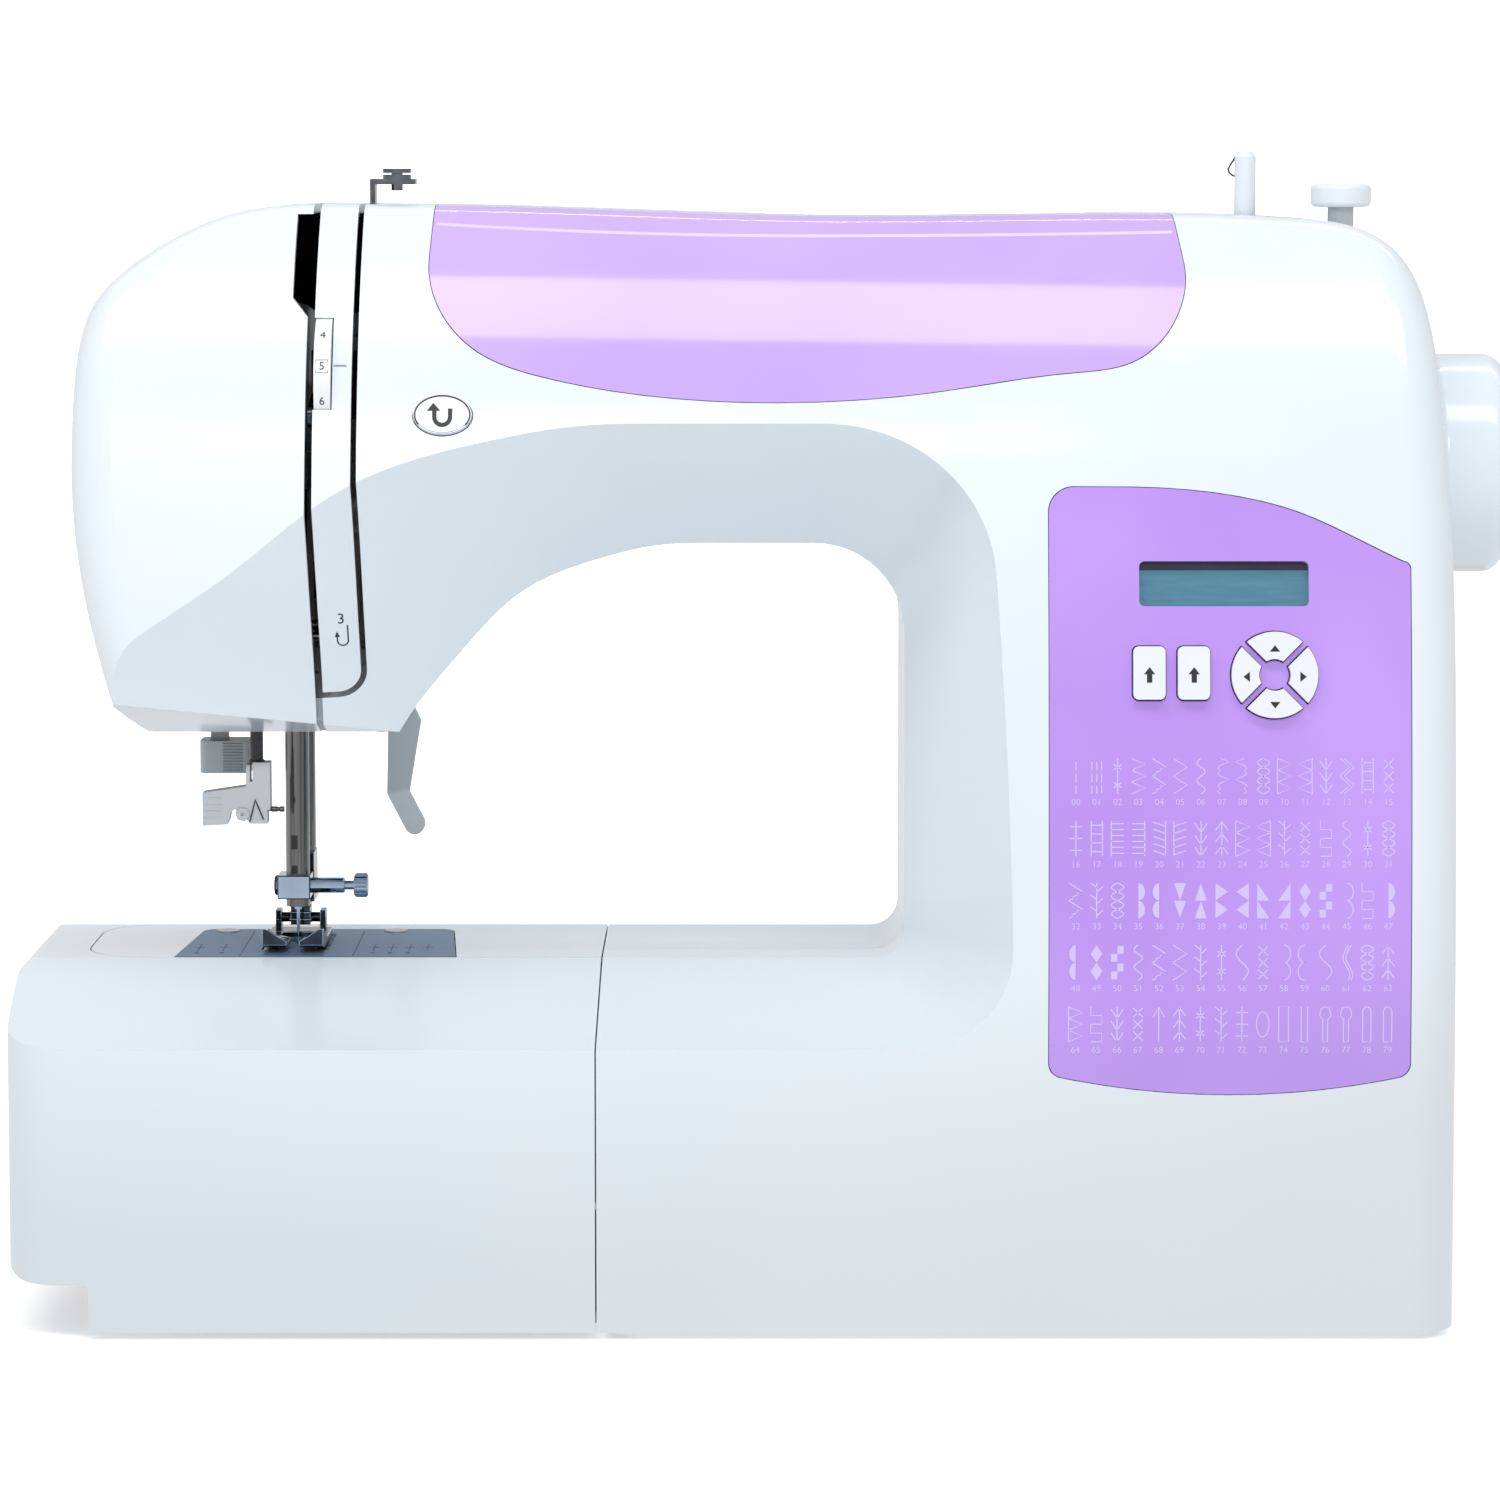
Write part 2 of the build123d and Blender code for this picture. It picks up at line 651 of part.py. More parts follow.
def rear_details(rear, outside, inside):
    """The rear cover with its spool trough, winder slot, handle lugs, stop hole and motor vents."""
    trough_z = TOP_Z - 0.3
    room = rod_x(TROUGH_X0, TROUGH_X1, TROUGH_Y, trough_z, TROUGH_R)
    skin = rod_x(TROUGH_X0 - WALL, TROUGH_X1 + WALL, TROUGH_Y, trough_z, TROUGH_R + WALL)
    rear += (skin & outside) - box(-FAR, FAR, -FAR, PART_Y + SEAM, -FAR, FAR)
    rear -= room
    rear -= rod_x(TROUGH_X1 - 1, TROUGH_X1 + 20.0, TROUGH_Y, SPOOL_Z, SPOOL_R)
    pivot_y = WINDER_Y + WINDER_ARM_L
    path = CenterArc((WINDER_X, pivot_y), WINDER_ARM_L, -90, WINDER_SWING)
    slot = SlotArc(path, 2 * WINDER_R + 3.0)
    rear -= prism_z(slot, TOP_RIGHT_Z - 15, TOP_Z + 5)
    rear -= rod_z(TOP_RIGHT_Z - 15, TOP_Z + 5, STOP_X, WINDER_Y, STOP_STEM_R)
    for side in (-1, 1):
        inner = HANDLE_X - HANDLE_W / 2 - SEAM
        lug = box(side * (inner - 6), side * inner, 30, HANDLE_Y, HANDLE_Z - 7, HANDLE_Z + 7)
        lug += rod_x(side * (inner - 6), side * inner, HANDLE_Y, HANDLE_Z, 7.0)
        pin = rod_x(side * (inner - 1), side * (HANDLE_X + HANDLE_W / 2 + 1), HANDLE_Y, HANDLE_Z, HANDLE_PIN_R)
        rear += (lug + pin) - inside
    for i in range(VENT_COUNT):
        x = VENT_X + i * VENT_STEP
        rear -= box(x, x + VENT_W, -FRONT_Y - 2 * WALL, -FRONT_Y + 1, VENT_Z, VENT_Z + VENT_H)
    return rear


# Display, keys and dial
def make_display():
    """Window behind its opening, and the circuit board with the display block and key switches."""
    plane = face_plane(DISPLAY_X, DISPLAY_Z)
    front = WALL + 0.15
    glass = plane.offset(-front) * RectangleRounded(DISPLAY_W + 2 * DISPLAY_LAP, DISPLAY_H + 2 * DISPLAY_LAP, 2.0)
    save(extrude(glass, amount=-WINDOW_T), "display_window")
    middle = Pos(0, -18.0)
    board = extrude(plane.offset(-BOARD_D) * middle * Rectangle(BOARD_W, BOARD_H), amount=-BOARD_T)
    block = plane.offset(-front - WINDOW_T) * Rectangle(DISPLAY_W, DISPLAY_H)
    board += extrude(block, amount=-(BOARD_D - front - WINDOW_T))
    save(board, "circuit_board")


def press_key(plane, face):
    """A moulded key: proud cap, and a stem that reaches in towards the board."""
    return extrude(plane * face, amount=KEY_PROUD) + extrude(plane * face, amount=-KEY_DEPTH)


def make_keys():
    """Two upright keys, four pad quarters and the reverse button."""
    for name, x in (("key_left", KEY_LEFT_X), ("key_right", KEY_RIGHT_X)):
        save(press_key(face_plane(x, KEY_Z), key_face()), name)
    plane = face_plane(PAD_X, PAD_Z)
    places = {"pad_key_right": (1, 0), "pad_key_up": (0, 1), "pad_key_left": (-1, 0), "pad_key_down": (0, -1)}
    for name, (u, v) in places.items():
        quarter = max(pad_faces().faces(), key=lambda f: u * f.center().X + v * f.center().Y)
        save(press_key(plane, quarter), name)
    button = press_key(face_plane(REVERSE_X, REVERSE_Z), oval())
    flange = face_plane(REVERSE_X, REVERSE_Z).offset(-WALL - 1.0) * oval(1.6)
    save(button + extrude(flange, amount=-1.4), "reverse_button")


def make_dial():
    """The thread tension dial, a wheel with finger notches round its rim."""
    axis_y, axis_z = dial_axis()
    x0 = STRIP_X0 + SEAM / 2 + SLIDE
    wheel = rod_x(x0, x0 + DIAL_W, axis_y, axis_z, DIAL_R)
    wheel -= rod_x(x0 - 1, x0 + DIAL_W + 1, axis_y, axis_z, DIAL_PIN_R + FIT)
    save(wheel, "tension_dial")


# Base plate, feet and screws
def screw(x, y, z, up):
    """One machine screw whose head seats at z; up is 1 where the head is above the seat."""
    head = rod_z(z, z + up * SCREW_HEAD_H, x, y, SCREW_HEAD_R)
    return head + rod_z(z, z - up * SCREW_L, x, y, SCREW_R)


def base_screw_places():
    """Where the base plate is screwed to the frame's foot."""
    y = FRAME_BACK_Y + 9.0
    return [(COLUMN_FRAME_X0 + 15.0, y), (COLUMN_FRAME_X1 - 15.0, y)]


def plate_screw_places():
    """Where the needle plate is screwed to the frame."""
    y = NEEDLE_PLATE_Y1 - 4.0
    return [(NEEDLE_X - 22.0, y), (NEEDLE_X + 26.0, y)]


def head_screw_place():
    """Where the front cover is screwed under the head."""
    return LIFTER_X + 4.0, NEEDLE_Y - 8.0


def foot_places():
    """Where the rubber feet sit under the base plate."""
    left = BASE_LEFT_X + 17.0
    right = RIGHT_X - 24.0
    return [(left, -50.0), (left, 50.0), (right, -58.0), (right, 58.0)]


def make_base():
    """Base plate, its rubber feet, and all the machine screws."""
    inner = WALL + SEAM
    wide = Pos((BASE_X + RIGHT_X) / 2, 0) * RectangleRounded(RIGHT_X - BASE_X - 2 * inner, -2 * FRONT_Y - 2 * inner, EDGE_R)
    length = BASE_X + 20.0 - BASE_LEFT_X
    narrow = Pos(BASE_LEFT_X + length / 2, 0) * RectangleRounded(length, 2 * BASE_LEFT_Y, 8.0)
    plate = prism_z(wide + narrow, FOOT_H, BASE_TOP_Z)
    feet = []
    for x, y in foot_places():
        plate -= rod_z(FOOT_H, BASE_TOP_Z, x, y, 3.0)
        feet.append(rod_z(0, FOOT_H, x, y, FOOT_R) + rod_z(FOOT_H, BASE_TOP_Z, x, y, 3.0))
    screws = []
    for x, y in base_screw_places():
        plate -= rod_z(FOOT_H - 1, BASE_TOP_Z + 1, x, y, SCREW_R)
        screws.append(screw(x, y, FOOT_H, -1))
    for x, y in plate_screw_places():
        screws.append(screw(x, y, PLATE_TOP_Z - SCREW_HEAD_H + 0.3, 1))
    x, y = head_screw_place()
    screws.append(screw(x, y, HEAD_BOTTOM_Z, -1))
    save(plate, "base_plate")
    save(Compound(feet), "rubber_feet")
    save(Compound(screws), "screws")


# Free arm, shuttle door and extension table
def free_arm_plan(grow):
    """Plan of the free arm: a straight tongue with rounded corners at its free end."""
    x0 = ARM_END_X - grow
    y0 = FREE_Y0 - grow
    y1 = FREE_Y1 + grow
    r = ARM_CORNER_R + grow
    x1 = BASE_X - SEAM
    edges = [
        Line((x1, y0), (x0 + r, y0)),
        RadiusArc((x0 + r, y0), (x0, y0 + r), r),
        Line((x0, y0 + r), (x0, y1 - r)),
        RadiusArc((x0, y1 - r), (x0 + r, y1), r),
        Line((x0 + r, y1), (x1, y1)),
        Line((x1, y1), (x1, y0)),
    ]
    return make_face(edges)


def needle_plate_face(grow=0.0):
    """Outline of the needle plate, a little narrower at the back."""
    front = NEEDLE_PLATE_W / 2 + grow
    rear = NEEDLE_PLATE_REAR_W / 2 + grow
    middle = NEEDLE_X + 6.7
    y0 = FREE_Y0 + SEAM - grow
    y1 = NEEDLE_PLATE_Y1 + grow
    face = polygon((middle - front, y0), (middle + front, y0), (middle + rear, y1), (middle - rear, y1))
    corners = face.vertices().sort_by(Axis.Y)[-2:]
    return fillet(corners, 4.0)


def make_free_arm():
    """Free arm cover: an open-ended box with the plate opening above and the door opening in front."""
    body = prism_z(free_arm_plan(0.0), ARM_BOTTOM_Z, BED_Z)
    room = prism_z(free_arm_plan(-ARM_WALL), ARM_BOTTOM_Z + ARM_WALL, BED_Z - ARM_WALL)
    body -= room + box(BASE_X - 2 * ARM_WALL - 1, BASE_X + 1, FREE_Y0 + ARM_WALL, FREE_Y1 - ARM_WALL,
                       ARM_BOTTOM_Z + ARM_WALL, BED_Z - ARM_WALL)
    body -= prism_z(needle_plate_face(0.3), PLATE_Z, BED_Z + 5)
    middle = NEEDLE_X + 6.7
    half = NEEDLE_PLATE_REAR_W / 2 - 3.0
    body -= box(middle - half, middle + half, FREE_Y0 + ARM_WALL, NEEDLE_PLATE_Y1 + 0.3, BED_Z - 2 * ARM_WALL, BED_Z)
    body -= box(DOOR_X0, DOOR_X1, FREE_Y0 - 1, FREE_Y0 + ARM_WALL + 1, DOOR_Z0, DOOR_Z1)
    axis_y, axis_z = door_axis()
    body -= rod_x(DOOR_X0 - 2.0, DOOR_X1 + 2.0, axis_y, axis_z, DOOR_PIN_R + FIT)
    save(body, "free_arm_cover")


def door_axis():
    """The shuttle door's hinge line, in the middle of the wall just over the sill."""
    return FREE_Y0 + ARM_WALL / 2, DOOR_Z0 + SLIDE + ARM_WALL / 2


def make_door():
    """Shuttle door in the front of the free arm, hinged on two moulded pins at its lower edge."""
    axis_y, axis_z = door_axis()
    x0 = DOOR_X0 + SLIDE
    x1 = DOOR_X1 - SLIDE
    door = box(x0, x1, FREE_Y0, FREE_Y0 + ARM_WALL, axis_z, DOOR_Z1 - SLIDE)
    door += rod_x(x0, x1, axis_y, axis_z, ARM_WALL / 2)
    door += rod_x(DOOR_X0 - 1.5, DOOR_X1 + 1.5, axis_y, axis_z, DOOR_PIN_R)
    grip_z = DOOR_Z1 - 6.0
    door -= rod_x((x0 + x1) / 2 - 9, (x0 + x1) / 2 + 9, FREE_Y0 - 0.8, grip_z, 2.2)
    save(door, "shuttle_door")


def table_side(inset):
    """Front view of the extension table, stepped up at its left foot."""
    x0 = TABLE_X + inset
    x1 = BASE_X - SEAM + inset
    top = BED_Z - inset
    r = TABLE_TOP_R - inset
    low = FOOT_H - 10 * inset
    step = TABLE_STEP_Z - 10 * inset
    edges = [
        Line((x1, low), (TABLE_STEP_X, low)),
        Line((TABLE_STEP_X, low), (TABLE_STEP_X, step)),
        Line((TABLE_STEP_X, step), (x0 + 9.5, step)),
        RadiusArc((x0 + 9.5, step), (x0, step + 9.5), 9.5),
        Line((x0, step + 9.5), (x0, top - r)),
        RadiusArc((x0, top - r), (x0 + r, top), r),
        Line((x0 + r, top), (x1, top)),
        Line((x1, top), (x1, low)),
    ]
    return make_face(edges)


def table_end(inset):
    """End view of the extension table: flat over the free arm, falling to the front and the rear."""
    y0 = FRONT_Y + inset
    y1 = -FRONT_Y - inset
    top = BED_Z - inset
    front = top - BED_DROP
    rear = top - BED_DROP * REAR_FLARE
    return polygon((y0, -FAR), (y0, front), (BED_FRONT_Y, top), (BED_REAR_Y, top), (y1, rear), (y1, -FAR))


def table_plan(inset):
    """Plan of the extension table with its two rounded corners."""
    x0 = TABLE_X + inset
    y1 = -FRONT_Y - inset
    r = TABLE_CORNER_R - inset
    corner = x0 + TABLE_BOW
    edges = [
        Line((0, -y1), (corner + r, -y1)),
        RadiusArc((corner + r, -y1), (corner, r - y1), r),
        ThreePointArc((corner, r - y1), (x0, 0), (corner, y1 - r)),
        RadiusArc((corner, y1 - r), (corner + r, y1), r),
        Line((corner + r, y1), (0, y1)),
        Line((0, y1), (0, -y1)),
    ]
    return make_face(edges)


def table_solid(inset):
    """The extension table as a solid block, offset inwards."""
    block = prism_y(table_side(inset), -FAR, FAR) & prism_x(table_end(inset), -FAR, FAR)
    return block & prism_z(table_plan(inset), -FAR, FAR)


def make_table():
    """Extension table: a hollow moulding, open underneath, that slides on round the free arm."""
    table = table_solid(0.0) - table_solid(TABLE_WALL)
    table -= prism_z(free_arm_plan(SEAM), -FAR, FAR)
    table -= box(BASE_X - 1, 0, FREE_Y0 - SEAM, FREE_Y1 + SEAM, -FAR, FAR)
    save(table, "extension_table")


# Needle plate, feed dog and hook
def make_needle_plate():
    """Needle plate with the needle slot, three feed slots and two countersunk screws."""
    plate = prism_z(needle_plate_face(), PLATE_Z, PLATE_TOP_Z)
    low = PLATE_Z - 1
    high = PLATE_TOP_Z + 1
    plate -= box(NEEDLE_X - STITCH_W / 2, NEEDLE_X + STITCH_W / 2, NEEDLE_Y - 1.0, NEEDLE_Y + 1.0, low, high)
    for x, y0, y1 in feed_rows():
        half = FEED_ROW_W / 2 + SLIDE
        plate -= box(x - half, x + half, y0 - SLIDE, y1 + SLIDE, low, high)
    seat = PLATE_TOP_Z - SCREW_HEAD_H + 0.3
    for x, y in plate_screw_places():
        plate -= rod_z(low, high, x, y, SCREW_R)
        plate -= rod_z(seat, high, x, y, SCREW_HEAD_R)
    save(plate, "needle_plate")


def feed_rows():
    """Middle, front and rear end of each row of feed teeth: one on either side, one behind the needle."""
    y0 = NEEDLE_Y - 12.0
    y1 = y0 + FEED_L
    side = FEED_ROW_X
    return [(NEEDLE_X - side, y0, y1), (NEEDLE_X, NEEDLE_Y + 6.0, y1), (NEEDLE_X + side, y0, y1)]


def make_feed_dog():
    """Feed dog: toothed rows on a carrier whose square post slides in the frame."""
    top = PLATE_TOP_Z - 0.3
    carrier_z = PLATE_Z - FEED_LIFT - 0.6
    half = FEED_ROW_X + FEED_ROW_W / 2
    y0 = NEEDLE_Y - 12.0
    dog = box(NEEDLE_X - half, NEEDLE_X + half, y0, y0 + FEED_L, carrier_z - 3.0, carrier_z)
    dog -= box(NEEDLE_X - STITCH_W / 2 - 1, NEEDLE_X + STITCH_W / 2 + 1, NEEDLE_Y - 4, NEEDLE_Y + 4, 0, BED_Z)
    pitch = 1.5
    for x, row_y0, row_y1 in feed_rows():
        row = box(x - FEED_ROW_W / 2, x + FEED_ROW_W / 2, row_y0, row_y1, carrier_z, top)
        for i in range(1, int((row_y1 - row_y0) / pitch)):
            notch = Pos(x, row_y0 + i * pitch, top) * Rot(45, 0, 0) * Box(FEED_ROW_W + 1, 0.9, 0.9)
            row -= notch
        dog += row
    post_x = feed_post_x()
    dog += box(NEEDLE_X + half, post_x + 4, NEEDLE_Y - 4, NEEDLE_Y + 4, carrier_z - 4.5, carrier_z)
    dog += box(post_x - 4, post_x + 4, NEEDLE_Y - 4, NEEDLE_Y + 4, HOOK_Z - 2, carrier_z)
    save(dog, "feed_dog")


def feed_post_x():
    """Middle of the feed dog's guide post, clear of the race."""
    return NEEDLE_X + RACE_R + 11.5


def make_hook():
    """Hook race, oscillating shuttle, bobbin case and the driver on its shaft."""
    bore = RACE_R - RACE_T
    y0 = NEEDLE_Y - 14.0
    y1 = HOOK_BACK_Y + 1.0
    race = rod_y(y0, y1, NEEDLE_X, HOOK_Z, RACE_R) - rod_y(y0, y1, NEEDLE_X, HOOK_Z, bore)
    lip = rod_y(NEEDLE_Y - 1.5, NEEDLE_Y + 0.6, NEEDLE_X, HOOK_Z, bore + 0.5)
    race += lip - rod_y(NEEDLE_Y - 2, NEEDLE_Y + 1, NEEDLE_X, HOOK_Z, bore - 2.0)
    race -= box(NEEDLE_X - 8, NEEDLE_X + 8, y0 - 1, y1 + 1, HOOK_Z, HOOK_Z + RACE_R + 1)
    for side in (-1, 1):
        race += rod_y(y1 - 6, FRAME_Y, NEEDLE_X + side * (RACE_R - 1.5), HOOK_Z, 3.0) - rod_y(y0, y1, NEEDLE_X, HOOK_Z, bore)
    save(race, "hook_race")

    shuttle_r = bore - HOOK_GAP
    ring_y = NEEDLE_Y + 1.0
    ring = rod_y(ring_y, HOOK_BACK_Y, NEEDLE_X, HOOK_Z, shuttle_r)
    ring -= rod_y(ring_y, HOOK_BACK_Y - 2, NEEDLE_X, HOOK_Z, CASE_R + 0.8)
    point = polygon((0, 0), (-40, 8), (-40, 40), (14, 40))
    ring -= prism_y(Pos(NEEDLE_X, HOOK_Z) * point, ring_y - 1, HOOK_BACK_Y - 2)
    ring += rod_y(NEEDLE_Y - 13, HOOK_BACK_Y, NEEDLE_X, HOOK_Z, 2.5)
    save(ring, "shuttle_hook")

    case = rod_y(NEEDLE_Y - 16, NEEDLE_Y, NEEDLE_X, HOOK_Z, CASE_R)
    case -= rod_y(NEEDLE_Y - 14.8, NEEDLE_Y + 1, NEEDLE_X, HOOK_Z, CASE_R - 1.2)
    case += rod_y(NEEDLE_Y - 16, NEEDLE_Y, NEEDLE_X, HOOK_Z, 4.0)
    case -= rod_y(NEEDLE_Y - 14.8, NEEDLE_Y + 1, NEEDLE_X, HOOK_Z, 2.5 + FIT)
    case += box(NEEDLE_X - 2.5, NEEDLE_X + 2.5, NEEDLE_Y - 16, NEEDLE_Y - 14.8, HOOK_Z + CASE_R - 1, HOOK_Z + RACE_R)
    latch = box(NEEDLE_X - 8, NEEDLE_X + 8, NEEDLE_Y - 17.4, NEEDLE_Y - 16, HOOK_Z - 4, HOOK_Z + 4)
    save(case + latch, "bobbin_case")

    back = HOOK_BACK_Y
    driver = rod_y(back, FRAME_BACK_Y, NEEDLE_X, HOOK_Z, HOOK_SHAFT_R)
    driver += rod_y(back, back + 3.0, NEEDLE_X, HOOK_Z, 12.0)
    driver += rod_y(FRAME_BACK_Y - 10, FRAME_Y - 0.6, NEEDLE_X, HOOK_Z, 6.5)
    save(driver, "hook_driver")


# Drive: main shaft, lower shaft, belts, motor, handwheel
def pulley(x, width, y, z, r):
    """A belt pulley with a low flange at each end."""
    body = rod_x(x, x + width, y, z, r)
    for at in (x - 1.0, x + width):
        body += rod_x(at, at + 1.0, y, z, r + BELT_T + 1.0)
    return body


def belt(x, width, y0, z0, r0, y1, z1, r1):
    """An endless belt round two pulleys: the outer run less the inner one."""
    inner = belt_face(y0, z0, r0 + BELT_GAP, y1, z1, r1 + BELT_GAP)
    outer = belt_face(y0, z0, r0 + BELT_GAP + BELT_T, y1, z1, r1 + BELT_GAP + BELT_T)
    return prism_x(outer - inner, x, x + width)


def belt_face(y0, z0, r0, y1, z1, r1):
    """The area held by a loop round two circles."""
    ends = [Pos(y0, z0) * Circle(r0), Pos(y1, z1) * Circle(r1)]
    return make_hull(ends[0].edges() + ends[1].edges())


def make_main_shaft():
    """Main shaft with its two moulded pulleys, the crank disc and the handwheel."""
    shaft = rod_x(CRANK_X - CRANK_T, WHEEL_X1 - 6.0, SHAFT_Y, SHAFT_Z, SHAFT_R)
    shaft += pulley(TIMING_X, TIMING_W, SHAFT_Y, SHAFT_Z, TIMING_R)
    shaft += pulley(DRIVE_X, DRIVE_W, SHAFT_Y, SHAFT_Z, DRIVE_R)
    save(shaft, "main_shaft")

    x0 = CRANK_X - CRANK_T
    disc = rod_x(x0, CRANK_X, SHAFT_Y, SHAFT_Z, CRANK_R)
    disc -= box(x0 - 1, CRANK_X + 1, SHAFT_Y - 40, SHAFT_Y + 40, SHAFT_Z - 40, SHAFT_Z - 3)
    pin_z = SHAFT_Z - STROKE / 2
    arm = rod_x(x0, CRANK_X, SHAFT_Y, SHAFT_Z, 11.0) + rod_x(x0, CRANK_X, SHAFT_Y, pin_z, 7.0)
    disc += arm + box(x0, CRANK_X, SHAFT_Y - 7, SHAFT_Y + 7, pin_z, SHAFT_Z)
    disc -= rod_x(x0, CRANK_X, SHAFT_Y, SHAFT_Z, SHAFT_R)
    disc -= rod_x(x0, CRANK_X, SHAFT_Y, pin_z, 3.0)
    save(disc, "crank_disc")

    wheel = rod_x(WHEEL_X0, WHEEL_X1, SHAFT_Y, SHAFT_Z, WHEEL_R)
    rims = [e for e in wheel.edges() if e.geom_type == GeomType.CIRCLE]
    inner, outer = sorted(rims, key=lambda e: e.center().X)
    wheel = fillet(outer, 6.0)
    wheel = fillet([e for e in wheel.edges() if abs(e.center().X - WHEEL_X0) < 0.01], 2.5)
    wheel -= rod_x(WHEEL_X1 - 2.0, WHEEL_X1 + 1, SHAFT_Y, SHAFT_Z, WHEEL_R - 9.0)
    wheel -= rod_x(WHEEL_X0 - 1, WHEEL_X1 - 6.0, SHAFT_Y, SHAFT_Z, SHAFT_R)
    hub = rod_x(RIGHT_X - 8.0, WHEEL_X0 + 1.0, SHAFT_Y, SHAFT_Z, SHAFT_R + 2.5)
    hub -= rod_x(RIGHT_X - 9.0, WHEEL_X0 + 2.0, SHAFT_Y, SHAFT_Z, SHAFT_R)
    save(wheel + hub, "handwheel")


def make_lower_drive():
    """Lower shaft, both belts, the motor and the motor's shaft with its pulley."""
    lower = rod_x(lower_bush_places()[0] - 8.0, TIMING_X + TIMING_W + 6.0, SHAFT_Y, LOWER_Z, SHAFT_R)
    lower += pulley(TIMING_X, TIMING_W, SHAFT_Y, LOWER_Z, TIMING_R)
    save(lower, "lower_shaft")
    save(belt(TIMING_X + 0.4, TIMING_W - 0.8, SHAFT_Y, SHAFT_Z, TIMING_R, SHAFT_Y, LOWER_Z, TIMING_R), "timing_belt")
    save(belt(DRIVE_X + 0.4, DRIVE_W - 0.8, SHAFT_Y, SHAFT_Z, DRIVE_R, MOTOR_Y, MOTOR_Z, MOTOR_PULLEY_R), "motor_belt")

    face_x = COLUMN_FRAME_X1 - 3.0
    motor = rod_x(face_x - MOTOR_L, face_x, MOTOR_Y, MOTOR_Z, MOTOR_R)
    motor += rod_x(face_x, COLUMN_FRAME_X1, MOTOR_Y, MOTOR_Z, 9.0)
    motor -= rod_x(face_x - 20.0, COLUMN_FRAME_X1 + 1, MOTOR_Y, MOTOR_Z, MOTOR_SHAFT_R + FIT)
    save(motor, "motor")
    rotor = rod_x(face_x - 18.0, DRIVE_X + DRIVE_W + 1.0, MOTOR_Y, MOTOR_Z, MOTOR_SHAFT_R)
    save(rotor + pulley(DRIVE_X, DRIVE_W, MOTOR_Y, MOTOR_Z, MOTOR_PULLEY_R), "motor_pulley")


def shaft_bush_places():
    """Left ends of the main shaft's three bushes."""
    return [CRANK_X + 9.0, TIMING_X - 18.0, DRIVE_X - 17.0]


def lower_bush_places():
    """Left ends of the lower shaft's two bushes."""
    return [CRANK_X + 4.0, TIMING_X - 22.0]


def make_bushes():
    """Sintered bushes pressed in the frame for both shafts and the hook shaft."""
    bushes = []
    for z, places in ((SHAFT_Z, shaft_bush_places()), (LOWER_Z, lower_bush_places())):
        for x in places:
            bush = rod_x(x, x + BUSH_L, SHAFT_Y, z, BUSH_R)
            bushes.append(bush - rod_x(x, x + BUSH_L, SHAFT_Y, z, SHAFT_R + FIT))
    bush = rod_y(FRAME_Y, FRAME_BACK_Y, NEEDLE_X, HOOK_Z, BUSH_R)
    bushes.append(bush - rod_y(FRAME_Y, FRAME_BACK_Y, NEEDLE_X, HOOK_Z, HOOK_SHAFT_R + FIT))
    save(Compound(bushes), "shaft_bushes")


